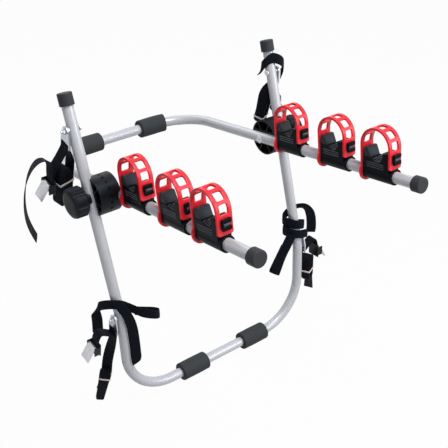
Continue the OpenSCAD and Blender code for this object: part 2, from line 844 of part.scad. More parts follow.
// Buckle frame: a base behind the webbing, two cheeks and the pin of the lever
module buckle(right, at, lean, leg) {
    half = web_w / 2 + 5;
    color(BLACK)
        buckle_axes(right, at, lean, leg) {
            translate([web_t / 2, -half, -18])
                cube([2.4, 2 * half, 36]);
            for (y = [-half, half - 2.4])
                translate([pin_x - 5, y, -13])
                    cube([5 - pin_x + web_t / 2 + 1, 2.4, 24]);
            translate([pin_x, half - 1, 0])
                rotate([90, 0, 0])
                    cylinder(d = pin_d, h = 2 * half - 2);
        }
}

// Buckle lever: a cam on the pin and a flat plate to pull
module lever(right, at, lean, leg) {
    half = web_w / 2 + 5 - 2.4 - move_gap;
    cam_r = -pin_x - web_t / 2 - move_gap;
    color(ZINC)
        buckle_axes(right, at, lean, leg)
            translate([pin_x, 0, 0])
                difference() {
                    union() {
                        translate([0, half, 0])
                            rotate([90, 0, 0])
                                cylinder(r = cam_r, h = 2 * half);
                        rotate([0, 28, 0])
                            translate([0.1 - cam_r, -half, -lever_len])
                                cube([2, 2 * half, lever_len]);
                    }
                    rotate([90, 0, 0])
                        cylinder(d = pin_d + 2 * run_clear, h = 4 * half, center = true);
                }
}

// Faces of a hank with its hook plate, which lies on the right of it
function hank_faces(right, fold) = [HANK_PITCH / 2 - fold[0] - web_t / 2 - (right ? 3 : 0),
    fold[0] + web_t / 2 + (right ? 0 : 3)];

// Hook plate that lies flat on the right side of a hank
module hook(right, at, lean, c, fold, turn) {
    faces = hank_faces(right, fold);
    hank_axes(right, at, lean, c, turn)
        translate([right ? faces[0] + 1.5 : faces[1] - 1.5, 0, fold[4]])
            rotate([90, 0, 90])
                linear_extrude(3, center = true)
                    polygon([[-8, 30], [8, 30], [13, -44], [-13, -44]]);
}

module strap_hooks() {
    color(RUBBER) {
        hook(false, anchor_up, UL_LEAN, UL_HANK, UL_FOLD, UL_TURN);
        hook(true, anchor_up, UR_LEAN, UR_HANK, UR_FOLD, UR_TURN);
        hook(false, -anchor_down, LL_LEAN, LL_HANK, LL_FOLD, LL_TURN);
        hook(true, -anchor_down, LR_LEAN, LR_HANK, LR_FOLD, LR_TURN);
    }
}

// Rubber ring round a hank and its hook
module hank_tie(right, at, lean, c, fold, turn) {
    faces = hank_faces(right, fold);
    hank_axes(right, at, lean, c, turn)
        translate([(faces[0] + faces[1]) / 2, 0, fold[3] - 2.5])
            linear_extrude(5)
                difference() {
                    soft_square(faces[1] - faces[0] + 3, web_w + 3, 1.4);
                    square([faces[1] - faces[0], web_w], center = true);
                }
}

module hank_ties() {
    color("whitesmoke") {
        hank_tie(false, anchor_up, UL_LEAN, UL_HANK, UL_FOLD, UL_TURN);
        hank_tie(true, anchor_up, UR_LEAN, UR_HANK, UR_FOLD, UR_TURN);
        hank_tie(false, -anchor_down, LL_LEAN, LL_HANK, LL_FOLD, LL_TURN);
        hank_tie(true, -anchor_down, LR_LEAN, LR_HANK, LR_FOLD, LR_TURN);
    }
}

// Loose end that leaves the upper left buckle and hangs outside it
module tail_upper_left() {
    path = spline(TAIL, 6);
    color(NAVY)
        bar_axes(false, anchor_up, UL_LEAN)
            translate([UL_LEG[0][0] - web_t - 2 * move_gap, 0, UL_LEG[0][1] + 26])
                band(path);
}

// Ribbon of webbing through stations, each a middle point and a direction across, n steps a span
module ribbon(stations, n = 4) {
    p = concat(spline(stations, n), [stations[len(stations) - 1]]);
    k = len(p) - 1;
    c = [for (q = p) [q[0], q[1], q[2]]];
    s = [for (q = p) unit([q[3], q[4], q[5]]) * web_w / 2];
    h = [for (i = [0 : k]) unit(cross(c[min(i + 1, k)] - c[max(i - 1, 0)], s[i])) * web_t / 2];
    polyhedron([for (i = [0 : k], e = [[-1, -1], [1, -1], [1, 1], [-1, 1]]) c[i] + e[0] * s[i] + e[1] * h[i]],
        concat([[0, 1, 2], [0, 2, 3], [4 * k, 4 * k + 2, 4 * k + 1], [4 * k, 4 * k + 3, 4 * k + 2]],
            [for (i = [0 : k - 1], j = [0 : 3]) let (a = 4 * i + j, b = 4 * i + (j + 1) % 4)
                each [[a, b + 4, b], [a, a + 4, b + 4]]]));
}

// Axes on the axis of an upright at the height of an anchor bolt, not mirrored
module upright_axes(x, at) {
    lower_axes()
        translate([x, 0, at])
            children();
}

// Stations round an upright, moved with the radius of its tube
function round_tube(stations) = [for (q = stations)
    q + concat(unit([q[0], q[1]]) * (tube_r - WRAP_TUBE_R), [0, 0, 0, 0])];

module wrap_upper_right() {
    color(NAVY)
        upright_axes(upright_x, anchor_up)
            ribbon(round_tube(UR_WRAP));
}

module wrap_lower_left() {
    color(NAVY)
        upright_axes(-upright_x, -anchor_down)
            ribbon(round_tube(LL_WRAP));
}

module wrap_lower_right() {
    color(NAVY)
        upright_axes(upright_x, -anchor_down)
            ribbon(round_tube(LR_WRAP));
}

// Free end of the lower left wrap, its face toward the arms
module drape_lower_left() {
    color(NAVY)
        upright_axes(-upright_x, -anchor_down)
            ribbon(round_tube(LL_DRAPE));
}

// Folded end that hangs under the lower right wrap
module drape_lower_right() {
    color(NAVY)
        upright_axes(upright_x, -anchor_down)
            ribbon(round_tube(LR_DRAPE));
}

lower_tube();
upright_cap(false);  // upright_cap_left
upright_cap(true);  // upright_cap_right
lower_pad(lower_pad_left_x);  // lower_pad_left
lower_pad(lower_pad_right_x);  // lower_pad_right
hub_outer(false);  // hub_outer_left
hub_outer(true);  // hub_outer_right
saddle_washers();
anchor_bolts();
anchor_nuts();
anchor_spacers();
upper_tube();
arm_cap(false);  // arm_cap_left
arm_cap(true);  // arm_cap_right
upper_pad(-upper_pad_x);  // upper_pad_left
upper_pad(upper_pad_x);  // upper_pad_right
hub_inner(false);  // hub_inner_left
hub_inner(true);  // hub_inner_right
hinge_bolts();
cradle(false, cradle_left_1);  // cradle_left_first
cradle(false, cradle_left_2);  // cradle_left_second
cradle(false, cradle_left_3);  // cradle_left_third
cradle(true, cradle_right_1);  // cradle_right_first
cradle(true, cradle_right_2);  // cradle_right_second
cradle(true, cradle_right_3);  // cradle_right_third
cradle_pads();
knob(false);  // knob_left
knob(true);  // knob_right
insert(false);  // insert_left
insert(true);  // insert_right
strap(false, cradle_left_1);  // strap_left_first
strap(false, cradle_left_2);  // strap_left_second
strap(false, cradle_left_3);  // strap_left_third
strap(true, cradle_right_1);  // strap_right_first
strap(true, cradle_right_2);  // strap_right_second
strap(true, cradle_right_3);  // strap_right_third
shackle(false, anchor_up, UL_LEAN);  // shackle_upper_left
shackle(true, anchor_up, UR_LEAN);  // shackle_upper_right
shackle(false, -anchor_down, LL_LEAN);  // shackle_lower_left
shackle(true, -anchor_down, LR_LEAN);  // shackle_lower_right
webbing(false, anchor_up, UL_LEAN, UL_LEG, UL_DROP, UL_HANK, UL_FOLD, UL_TURN);  // webbing_upper_left
webbing(true, anchor_up, UR_LEAN, UR_LEG, UR_DROP, UR_HANK, UR_FOLD, UR_TURN);  // webbing_upper_right
webbing(false, -anchor_down, LL_LEAN, LL_LEG, LL_DROP, LL_HANK, LL_FOLD, LL_TURN);  // webbing_lower_left
webbing(true, -anchor_down, LR_LEAN, LR_LEG, LR_DROP, LR_HANK, LR_FOLD, LR_TURN);  // webbing_lower_right
buckle(false, anchor_up, UL_LEAN, UL_LEG);  // buckle_upper_left
buckle(true, anchor_up, UR_LEAN, UR_LEG);  // buckle_upper_right
buckle(false, -anchor_down, LL_LEAN, LL_LEG);  // buckle_lower_left
buckle(true, -anchor_down, LR_LEAN, LR_LEG);  // buckle_lower_right
lever(false, anchor_up, UL_LEAN, UL_LEG);  // lever_upper_left
lever(true, anchor_up, UR_LEAN, UR_LEG);  // lever_upper_right
lever(false, -anchor_down, LL_LEAN, LL_LEG);  // lever_lower_left
lever(true, -anchor_down, LR_LEAN, LR_LEG);  // lever_lower_right
hank_ties();
strap_hooks();
tail_upper_left();
wrap_upper_right();
wrap_lower_left();
wrap_lower_right();
drape_lower_left();
drape_lower_right();
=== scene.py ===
"""Looks of a trunk mounted bike rack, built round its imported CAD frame.

Metres, +Z up, +Y toward the vehicle. Hard CAD nodes keep their shapes and get their finishes here.
Rubber, foam and webbing are modelled here and stand for their plain CAD solids.
"""

from __future__ import annotations

import logging
import math
from dataclasses import dataclass, field
from enum import Enum
from typing import Any, Sequence, Union

import bpy
from mathutils import Matrix, Vector

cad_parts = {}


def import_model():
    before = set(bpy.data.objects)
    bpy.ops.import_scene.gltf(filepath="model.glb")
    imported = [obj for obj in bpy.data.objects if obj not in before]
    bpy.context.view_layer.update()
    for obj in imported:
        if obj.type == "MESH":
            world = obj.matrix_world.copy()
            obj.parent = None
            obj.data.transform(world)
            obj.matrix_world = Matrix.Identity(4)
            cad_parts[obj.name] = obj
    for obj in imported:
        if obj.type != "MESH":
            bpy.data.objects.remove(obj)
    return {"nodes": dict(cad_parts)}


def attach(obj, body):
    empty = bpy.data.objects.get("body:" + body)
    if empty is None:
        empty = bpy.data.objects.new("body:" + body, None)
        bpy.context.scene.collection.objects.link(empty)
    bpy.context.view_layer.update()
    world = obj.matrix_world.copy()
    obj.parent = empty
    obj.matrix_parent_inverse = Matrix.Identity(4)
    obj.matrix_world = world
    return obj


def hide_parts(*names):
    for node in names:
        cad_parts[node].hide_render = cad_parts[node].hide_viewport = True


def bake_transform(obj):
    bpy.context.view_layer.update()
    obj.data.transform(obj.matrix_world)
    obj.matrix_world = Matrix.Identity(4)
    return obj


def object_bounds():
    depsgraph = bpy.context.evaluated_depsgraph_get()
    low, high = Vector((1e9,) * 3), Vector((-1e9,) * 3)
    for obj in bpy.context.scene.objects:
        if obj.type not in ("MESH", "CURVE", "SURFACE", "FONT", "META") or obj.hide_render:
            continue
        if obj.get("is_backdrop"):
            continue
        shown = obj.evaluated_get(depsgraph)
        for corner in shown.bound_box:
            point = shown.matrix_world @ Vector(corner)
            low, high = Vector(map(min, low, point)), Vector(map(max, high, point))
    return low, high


LOG = logging.getLogger("bike_rack")
MM = 0.001
RGB = tuple[float, float, float]
Flat = tuple[float, float]
Value = Union["Sock", float, tuple]


# --------------------------------------------------------------------------- shader tools


class Sock:
    """An output socket whose operators add Math nodes to its tree."""

    def __init__(self, tree: "Tree", socket: bpy.types.NodeSocket) -> None:
        """Wraps one socket of a tree."""
        self.tree = tree
        self.socket = socket

    def _math(self, operation: str, *values: Value) -> "Sock":
        """Adds one Math node.

        Args:
            operation: Blender's name of the operation.
            values: its operands in order.

        Returns:
            The node's result.
        """
        return self.tree.node("ShaderNodeMath", {"operation": operation}, dict(enumerate(values)))[0]

    def __add__(self, other: Value) -> "Sock":
        """Sum."""
        return self._math("ADD", self, other)

    def __sub__(self, other: Value) -> "Sock":
        """Difference."""
        return self._math("SUBTRACT", self, other)

    def __rsub__(self, other: Value) -> "Sock":
        """Difference from a number."""
        return self._math("SUBTRACT", other, self)

    def __mul__(self, other: Value) -> "Sock":
        """Product."""
        return self._math("MULTIPLY", self, other)

    def __pow__(self, other: Value) -> "Sock":
        """Power."""
        return self._math("POWER", self, other)

    __radd__ = __add__
    __rmul__ = __mul__

    def sin(self) -> "Sock":
        """Sine of an angle in radians."""
        return self._math("SINE", self)

    def abs(self) -> "Sock":
        """Value without its sign."""
        return self._math("ABSOLUTE", self)

    def floor(self) -> "Sock":
        """Whole part."""
        return self._math("FLOOR", self)

    def clip(self) -> "Sock":
        """Value held between 0 and 1."""
        return self.tree.node("ShaderNodeClamp", None, {"Value": self})[0]


class Made:
    """A node's outputs, by name or number, as Socks."""

    def __init__(self, tree: "Tree", node: bpy.types.Node) -> None:
        """Keeps the node and its tree."""
        self.tree = tree
        self.node = node

    def __getitem__(self, key: Union[str, int]) -> Sock:
        """The output of that name or number."""
        return Sock(self.tree, self.node.outputs[key])


class Tree:
    """A node tree that is written as Python expressions."""

    def __init__(self, owner: Union[bpy.types.Material, bpy.types.World]) -> None:
        """Empties the owner's tree and keeps it.

        Args:
            owner: the material or the world.
        """
        owner.use_nodes = True
        self.nodes = owner.node_tree.nodes
        self.links = owner.node_tree.links
        self.nodes.clear()

    def node(self, kind: str, settings: dict[str, Any] | None = None,
             inputs: dict[Union[str, int], Value] | None = None) -> Made:
        """Adds one node.

        Args:
            kind: Blender's type of the node.
            settings: its own settings, set first.
            inputs: values or links of its sockets, by name or number.

        Returns:
            The node's outputs.
        """
        made = self.nodes.new(kind)
        for key, value in (settings or {}).items():
            setattr(made, key, value)
        for key, value in (inputs or {}).items():
            if isinstance(value, Sock):
                self.links.new(value.socket, made.inputs[key])
            else:
                made.inputs[key].default_value = value
        return Made(self, made)

    def noise(self, at: Sock, scale: float, detail: float = 3.0) -> Sock:
        """Soft noise from 0 to 1, at so many features a metre."""
        return self.node("ShaderNodeTexNoise", None, {"Vector": at, "Scale": scale, "Detail": detail})["Fac"]

    def cells(self, at: Sock, scale: float) -> Sock:
        """Distance to the nearest of many scattered points, so many a metre."""
        return self.node("ShaderNodeTexVoronoi", None, {"Vector": at, "Scale": scale})["Distance"]

    def mix(self, share: Value, first: Value, second: Value) -> Sock:
        """A colour between two colours."""
        return self.node("ShaderNodeMix", {"data_type": "RGBA"}, {0: share, 6: first, 7: second})[2]


def rgba(colour: RGB) -> tuple[float, float, float, float]:
    """The colour with full alpha."""
    return (*colour, 1.0)


# --------------------------------------------------------------------------- finishes

COOL: RGB = (0.72, 0.86, 1.0)         # tint of the highlights
BARE_METAL: RGB = (0.9, 0.9, 0.92)    # where the paint is rubbed
EDGE_GAIN = 4.0                       # how soon a rounded edge counts as rubbed and gets painted highlight
EDGE_LEAST = 0.4                      # least share of rub and painted highlight, between the patches
ROUGH_SPREAD = 0.22                   # change of roughness from patch to patch
ROUGH_RUB = 0.1                       # added roughness on a rubbed edge
COAT_ROUGHNESS = 0.12


@dataclass(frozen=True)
class Finish:
    """A moulded finish: colours, gloss, the scale and height of its grain, and its edges, lighter where
    rubbed and where a highlight is painted.
    """

    name: str
    slot: str
    colour: RGB
    shade: RGB
    roughness: float
    metallic: float = 0.0
    coat: float = 0.0
    sheen: float = 0.0
    specular: float = 0.5
    patch: float = 18.0
    grain: float = 1400.0
    height: float = 0.00006
    edge: float = 0.0006
    wear_and_highlight: float = 0.25

    def material(self) -> bpy.types.Material:
        """Builds the finish once.

        Returns:
            The material of that name.
        """
        known = bpy.data.materials.get(self.name)
        if known:
            return known
        material = bpy.data.materials.new(self.name)
        tree = Tree(material)
        at = tree.node("ShaderNodeTexCoord")["Object"]
        patches = tree.noise(at, self.patch, 5.0)
        bevel = tree.node("ShaderNodeBevel", {"samples": 4}, {"Radius": self.edge})["Normal"]
        true_normal = tree.node("ShaderNodeNewGeometry")["Normal"]
        facing = tree.node("ShaderNodeVectorMath", {"operation": "DOT_PRODUCT"},
                           {0: bevel, 1: true_normal})["Value"]
        # Rounded edges get a lighter colour and more roughness: partly rubbed, partly a painted highlight
        # along the edges.
        worn_and_highlit = ((1.0 - facing) * EDGE_GAIN).clip() * self.wear_and_highlight * (EDGE_LEAST + patches)
        relief = self.relief(tree, at)
        bump = tree.node("ShaderNodeBump", None, {
            "Strength": 1.0, "Distance": self.height, "Height": relief, "Normal": bevel})["Normal"]
        shader = tree.node("ShaderNodeBsdfPrincipled", None, {
            "Base Color": self.tint(tree, at, patches, worn_and_highlit, relief),
            "Roughness": self.roughness + (patches - 0.5) * ROUGH_SPREAD + worn_and_highlit * ROUGH_RUB,
            "Normal": bump, "Metallic": self.metallic, "Coat Weight": self.coat,
            "Coat Roughness": COAT_ROUGHNESS, "Sheen Weight": self.sheen,
            "Specular IOR Level": self.specular, "Specular Tint": rgba(COOL)})
        tree.node("ShaderNodeOutputMaterial", None, {"Surface": shader[0]})
        return material

    def relief(self, tree: Tree, at: Sock) -> Sock:
        """Height of the surface grain.

        Args:
            tree: the material's tree.
            at: place on the piece.

        Returns:
            Height from 0 to 1.
        """
        return tree.noise(at, self.grain, 2.0)

    def tint(self, tree: Tree, at: Sock, patches: Sock, worn_and_highlit: Sock, relief: Sock) -> Sock:
        """Colour of the surface.

        Args:
            tree: the material's tree.
            at: place on the piece.
            patches: slow variation over the piece.
            worn_and_highlit: how much an edge is rubbed and lightened with painted highlight.
            relief: height of the grain.

        Returns:
            The base colour.
        """
        body = tree.mix(patches, rgba(self.shade), rgba(self.colour))
        # The lighter edge colour is partly rubbed surface, partly painted highlight.
        light = tuple(min(1.0, c * 1.8 + 0.04) for c in self.colour)
        return tree.mix(worn_and_highlit, body, rgba(light))


@dataclass(frozen=True)
class Foam(Finish):
    """Closed-cell foam with fine open pores."""

    def relief(self, tree: Tree, at: Sock) -> Sock:
        """Pores of two sizes."""
        return tree.cells(at, self.grain) * 0.6 + tree.cells(at, self.grain * 0.37) * 0.5


@dataclass(frozen=True)
class Flake(Finish):
    """Satin paint with metal flake and a faint orange peel."""

    def relief(self, tree: Tree, at: Sock) -> Sock:
        """Orange peel of the paint."""
        return tree.noise(at, self.grain * 0.25, 1.0)

    def tint(self, tree: Tree, at: Sock, patches: Sock, worn_and_highlit: Sock, relief: Sock) -> Sock:
        """Paint colour, sparkling from flake to flake.

        Args:
            tree: the material's tree.
            at: place on the piece.
            patches: slow variation over the piece.
            worn_and_highlit: how much an edge is rubbed and lightened with painted highlight.
            relief: height of the grain.

        Returns:
            The base colour.
        """
        sparkle = tree.cells(at, self.grain * 2.0)
        body = tree.mix(patches * 0.7 + sparkle * 0.4, rgba(self.shade), rgba(self.colour))
        return tree.mix(worn_and_highlit * 0.5, body, rgba(BARE_METAL))


@dataclass(frozen=True)
class Plated(Finish):
    """Zinc plate with a crystalline bloom and fine rub marks."""

    def relief(self, tree: Tree, at: Sock) -> Sock:
        """Rub marks drawn out along one way."""
        drawn = tree.node("ShaderNodeMapping", None, {"Vector": at, "Scale": (1.0, 0.06, 1.0)})["Vector"]
        return tree.noise(drawn, self.grain, 2.0)

    def tint(self, tree: Tree, at: Sock, patches: Sock, worn_and_highlit: Sock, relief: Sock) -> Sock:
        """Bright plate with darker bloom."""
        bloom = (tree.cells(at, self.patch * 9.0) * 0.6 + patches * 0.6).clip()
        return tree.mix(bloom, rgba(self.shade), rgba(self.colour))


@dataclass(frozen=True)
class Weave(Finish):
    """Woven webbing: ribs along its length, crossed by picks, on the piece's own UV map in metres."""

    rib: float = 0.0021
    pick: float = 0.0013

    def _threads(self, tree: Tree) -> tuple[Sock, Sock]:
        """Profiles of the threads over the width and along it.

        Args:
            tree: the material's tree.

        Returns:
            Heights of the ribs and of the picks, from 0 to 1.
        """
        place = tree.node("ShaderNodeSeparateXYZ", None, {0: tree.node("ShaderNodeUVMap")["UV"]})
        across, along = place["X"], place["Y"]
        rows = across * (1.0 / self.rib)
        ribs = (rows * math.pi).sin().abs()
        picks = ((along * (1.0 / self.pick) + rows.floor() * 0.5) * math.pi).sin().abs()
        return ribs, picks

    def relief(self, tree: Tree, at: Sock) -> Sock:
        """Threads that pass over and under."""
        ribs, picks = self._threads(tree)
        return (ribs ** 0.6) * (0.45 + picks * 0.55) + tree.noise(at, self.grain, 2.0) * 0.15

    def tint(self, tree: Tree, at: Sock, patches: Sock, worn_and_highlit: Sock, relief: Sock) -> Sock:
        """Painted shade between the threads, lighter on them, a little faded in patches."""
        thread = tree.mix(patches, rgba(self.colour), rgba(tuple(c * 1.5 for c in self.colour)))
        return tree.mix(relief.clip(), rgba(self.shade), thread)


class Look(Enum):
    """The finishes of the rack, each with its material slot in the record. Cradle and ribs share one slot;
    the ribs and peg lips are a lighter copy of the cradle plastic, a painted highlight.
    """

    # Lighter rounded edges on these finishes are partly rubbed paint and plastic, partly painted highlight.
    TUBE = Flake("satin_silver_paint", "frame_tube", (0.52, 0.53, 0.56), (0.46, 0.47, 0.50), 0.33,
                 metallic=0.15, coat=0.2, grain=1600.0, height=0.00002, wear_and_highlight=0.1)
    PAD = Foam("sleeve_foam", "pad_rubber", (0.040, 0.044, 0.046), (0.028, 0.031, 0.032), 0.72,
               specular=0.2, grain=900.0, height=0.00016, edge=0.001)
    CAP = Finish("cap_rubber_black", "cap_rubber", (0.034, 0.035, 0.038), (0.026, 0.027, 0.029), 0.56,
                 specular=0.2, height=0.00005, edge=0.0015, wear_and_highlight=0.6)
    HUB = Finish("hub_moulding", "hub_plastic", (0.007, 0.0075, 0.0095), (0.004, 0.0045, 0.006), 0.42,
                 specular=0.15, grain=1100.0, height=0.00005, edge=0.0009, wear_and_highlight=0.4)
    CRADLE = Finish("cradle_moulding", "cradle_plastic", (0.004, 0.0048, 0.007), (0.0025, 0.003, 0.0045),
                    0.34, specular=0.06, height=0.00004, edge=0.0013, wear_and_highlight=0.6)
    # painted highlight: the cradle plastic made lighter for its ribs and peg lips, as if they caught the
    # light
    RIB = Finish("cradle_rib_gloss", "cradle_plastic", (0.060, 0.064, 0.068), (0.044, 0.047, 0.050), 0.3,
                 specular=0.4, height=0.00002, edge=0.0004)
    CRADLE_PAD = Finish("cradle_soft_face", "cradle_rubber", (0.026, 0.028, 0.033), (0.018, 0.020, 0.024),
                        0.45, specular=0.16, height=0.00003, edge=0.0012, wear_and_highlight=0.5)
    STRAP = Finish("red_strap_rubber", "strap_rubber", (0.83, 0.018, 0.031), (0.73, 0.011, 0.022), 0.38,
                   coat=0.1, specular=0.35, grain=700.0, height=0.00003, edge=0.0007, wear_and_highlight=0.3)
    ZINC = Plated("bright_zinc", "zinc", (0.66, 0.67, 0.69), (0.42, 0.43, 0.46), 0.33, metallic=0.9,
                  grain=900.0, height=0.00003, edge=0.0004)
    BRASS = Plated("turned_brass", "insert_brass", (0.70, 0.52, 0.22), (0.52, 0.37, 0.14), 0.32, metallic=1.0)
    # second colour: painted shade between the threads
    WEBBING = Weave("navy_webbing", "webbing", (0.0042, 0.0050, 0.0098), (0.0012, 0.0015, 0.0032), 0.72,
                    sheen=0.02, specular=0.08, grain=5000.0, height=0.00035, edge=0.0003)
    BUCKLE = Finish("buckle_moulding", "buckle_plastic", (0.007, 0.007, 0.009), (0.004, 0.004, 0.006), 0.36,
                    specular=0.18, edge=0.0006, wear_and_highlight=0.4)
    TIE = Finish("tie_band", "tie_rubber", (0.78, 0.68, 0.64), (0.68, 0.58, 0.54), 0.5, grain=900.0)
    HOOK = Finish("hook_coating", "hook_rubber", (0.013, 0.0135, 0.016), (0.008, 0.0085, 0.010), 0.45,
                  specular=0.25, edge=0.0006)

    def on(self, obj: bpy.types.Object) -> bpy.types.Object:
        """Dresses a piece in this finish.

        Args:
            obj: a mesh object.

        Returns:
            The same object.
        """
        obj.data.materials.clear()
        obj.data.materials.append(self.value.material())
        return obj


# --------------------------------------------------------------------------- places


class Axes:
    """Axes of the two frames and of the pieces on them, as matrices."""

    hinge = Vector((0.0, 0.091943, 0.509105))  # middle of the hinge axis
    lean = math.radians(15.8)                  # uprights from the vertical
    rise = math.radians(7.9)                   # arms from the level
    toe = math.radians(13.4)                   # bottom loop from the line of the uprights
    upright_x = 0.270                          # uprights from the middle plane
    arm_x = 0.214                              # arms from the middle plane
    anchor_high = 0.148                        # upper anchor bolts, along the uprights from the hinge
    anchor_low = -0.282                        # lower anchor bolts
    plate_x = -0.017                           # shackle plates from the uprights
    drop = 0.036                               # shackle bars below their bolts

    @staticmethod
    def lower() -> Matrix:
        """Hinge axis along X, uprights along Z."""
        return Matrix.Translation(Axes.hinge) @ Matrix.Rotation(-Axes.lean, 4, "X")

    @staticmethod
    def upper() -> Matrix:
        """Hinge axis along X, arms along -Y."""
        return Matrix.Translation(Axes.hinge) @ Matrix.Rotation(-Axes.rise, 4, "X")

    @staticmethod
    def side(right: bool) -> Matrix:
        """Mirror for the right-hand side."""
        return Matrix.Diagonal((-1.0 if right else 1.0, 1.0, 1.0, 1.0))

    @staticmethod
    def ring(right: bool, at: float) -> Matrix:
        """On an arm axis at a strap ring, x across, -y outward."""
        return Axes.upper() @ Axes.side(right) @ Matrix.Translation((-Axes.arm_x, -at, 0.0))

    @staticmethod
    def bar(right: bool, at: float, lean_deg: float) -> Matrix:
        """On the bar of a shackle.

        Args:
            right: whether it is on the right upright.
            at: place of its anchor bolt, along the upright from the hinge.
            lean_deg: how far the tie-down hangs off the vertical, in degrees.

        Returns:
            Axes with -x outward and z up along the tie-down.
        """
        turned = Matrix.Rotation(Axes.lean + math.radians(lean_deg), 4, "X")
        return (Axes.lower() @ Axes.side(right) @ Matrix.Translation((-Axes.upright_x, 0.0, at)) @ turned
                @ Matrix.Translation((Axes.plate_x, 0.0, -Axes.drop)))


# --------------------------------------------------------------------------- bench tools


class Bench:
    """Hand tools that leave a finished mesh at the origin."""

    @staticmethod
    def only(obj: bpy.types.Object) -> None:
        """Selects one object and no other.

        Args:
            obj: the object, which becomes the active one.
        """
        bpy.ops.object.select_all(action="DESELECT")
        obj.select_set(True)
        bpy.context.view_layer.objects.active = obj

    @staticmethod
    def mesh(name: str, points: Sequence[Vector], faces: Sequence[Sequence[int]],
             edges: Sequence[Sequence[int]] = ()) -> bpy.types.Object:
        """An object from its points.

        Args:
            name: the piece's name.
            points: its vertices.
            faces: its faces, as vertex numbers.
            edges: loose edges, as vertex numbers.

        Returns:
            The new object.
        """
        data = bpy.data.meshes.new(name)
        data.from_pydata([tuple(p) for p in points], [tuple(e) for e in edges], [tuple(f) for f in faces])
        data.update()
        obj = bpy.data.objects.new(name, data)
        bpy.context.scene.collection.objects.link(obj)
        return obj

    @staticmethod
    def edit(obj: bpy.types.Object, *steps: tuple[str, dict[str, Any]]) -> None:
        """Runs mesh operators on the whole mesh in edit mode.

        Args:
            obj: the piece.
            steps: operator names with their settings.
        """
        Bench.only(obj)
        bpy.ops.object.mode_set(mode="EDIT")
        bpy.ops.mesh.select_all(action="SELECT")
        for name, settings in steps:
            getattr(bpy.ops.mesh, name)(**settings)
        bpy.ops.object.mode_set(mode="OBJECT")

    @staticmethod
    def modify(obj: bpy.types.Object, kind: str, **settings: Any) -> None:
        """Adds one modifier and applies it.

        Args:
            obj: the piece.
            kind: Blender's type of the modifier.
            settings: the modifier's settings.
        """
        Bench.only(obj)
        modifier = obj.modifiers.new(kind.lower(), kind)
        for key, value in settings.items():
            setattr(modifier, key, value)
        bpy.ops.object.modifier_apply(modifier=modifier.name)

    @staticmethod
    def round_edges(obj: bpy.types.Object, width: float, segments: int = 2, angle: float = 40.0) -> None:
        """Bevels what is sharper than an angle, then shades smooth.

        Args:
            obj: the piece.
            width: width of the bevel.
            segments: its steps.
            angle: the angle in degrees.
        """
        Bench.modify(obj, "BEVEL", width=width, segments=segments, limit_method="ANGLE",
                     angle_limit=math.radians(angle), harden_normals=False)
        Bench.smooth(obj, angle)

    @staticmethod
    def smooth(obj: bpy.types.Object, angle: float = 40.0) -> None:
        """Smooth shading up to that angle."""
        Bench.only(obj)
        bpy.ops.object.shade_smooth_by_angle(angle=math.radians(angle))

    @staticmethod
    def put(obj: bpy.types.Object, matrix: Matrix) -> bpy.types.Object:
        """Moves the mesh, not the object, and keeps its faces outward.

        Args:
            obj: the piece.
            matrix: its place.

        Returns:
            The same object.
        """
        obj.data.transform(matrix)
        if matrix.determinant() < 0:
            obj.data.flip_normals()
        obj.data.update()
        return obj

    @staticmethod
    def lathe(name: str, profile: Sequence[Flat], steps: int) -> bpy.types.Object:
        """Spins a closed profile of (along X, radius) points round X.

        Args:
            name: the piece's name.
            profile: the profile's points in order.
            steps: steps of the full turn.

        Returns:
            The closed ring.
        """
        points = [Vector((x, 0.0, r)) for x, r in profile]
        obj = Bench.mesh(name, points, (), [(i, (i + 1) % len(points)) for i in range(len(points))])
        Bench.edit(obj,
                   ("spin", {"steps": steps, "angle": 2 * math.pi, "center": (0, 0, 0), "axis": (1, 0, 0)}),
                   ("remove_doubles", {"threshold": 0.00001}),
                   ("normals_make_consistent", {"inside": False}))
        return obj

    @staticmethod
    def prism(name: str, outline: Sequence[Flat], width: float) -> bpy.types.Object:
        """A block of even width across X from an outline of (outward, up) points.

        Args:
            name: the piece's name.
            outline: corners of the outline in order.
            width: width across X.

        Returns:
            The block.
        """
        obj = Bench.mesh(name, [Vector((-width / 2, -v, z)) for v, z in outline], [range(len(outline))])
        Bench.edit(obj,
                   ("extrude_region_move", {"TRANSFORM_OT_translate": {"value": (width, 0, 0)}}),
                   ("select_all", {"action": "SELECT"}),
                   ("normals_make_consistent", {"inside": False}))
        return obj

    @staticmethod
    def bead(name: str, lines: Sequence[Sequence[Vector]], radius: float) -> bpy.types.Object:
        """Round beads along lines of points.

        Args:
            name: the piece's name.
            lines: the beads' lines.
            radius: radius of a bead.

        Returns:
            All the beads as one mesh.
        """
        curve = bpy.data.curves.new(name, "CURVE")
        curve.dimensions = "3D"
        curve.bevel_depth = radius
        curve.bevel_resolution = 2
        curve.use_fill_caps = True
        for line in lines:
            spline = curve.splines.new("POLY")
            spline.points.add(len(line) - 1)
            for point, place in zip(spline.points, line):
                point.co = (*place, 1.0)
        obj = bpy.data.objects.new(name, curve)
        bpy.context.scene.collection.objects.link(obj)
        Bench.only(obj)
        bpy.ops.object.convert(target="MESH")
        Bench.smooth(obj, 50.0)
        return obj


def spline(points: Sequence[Sequence[float]], steps: int) -> list[Vector]:
    """A smooth curve through points.

    Args:
        points: points of two or three numbers.
        steps: steps a span.

    Returns:
        Points of the curve, with the last point.
    """
    p = [Vector(q) for q in points]
    line = []
    for i in range(len(p) - 1):
        a, b, c, d = p[max(i - 1, 0)], p[i], p[i + 1], p[min(i + 2, len(p) - 1)]
        for k in range(steps):
            t = k / steps
            line.append(0.5 * (2 * b + (c - a) * t + (2 * a - 5 * b + 4 * c - d) * t * t
                               + (3 * b - a - 3 * c + d) * t ** 3))
    return line + [p[-1]]


# --------------------------------------------------------------------------- webbing


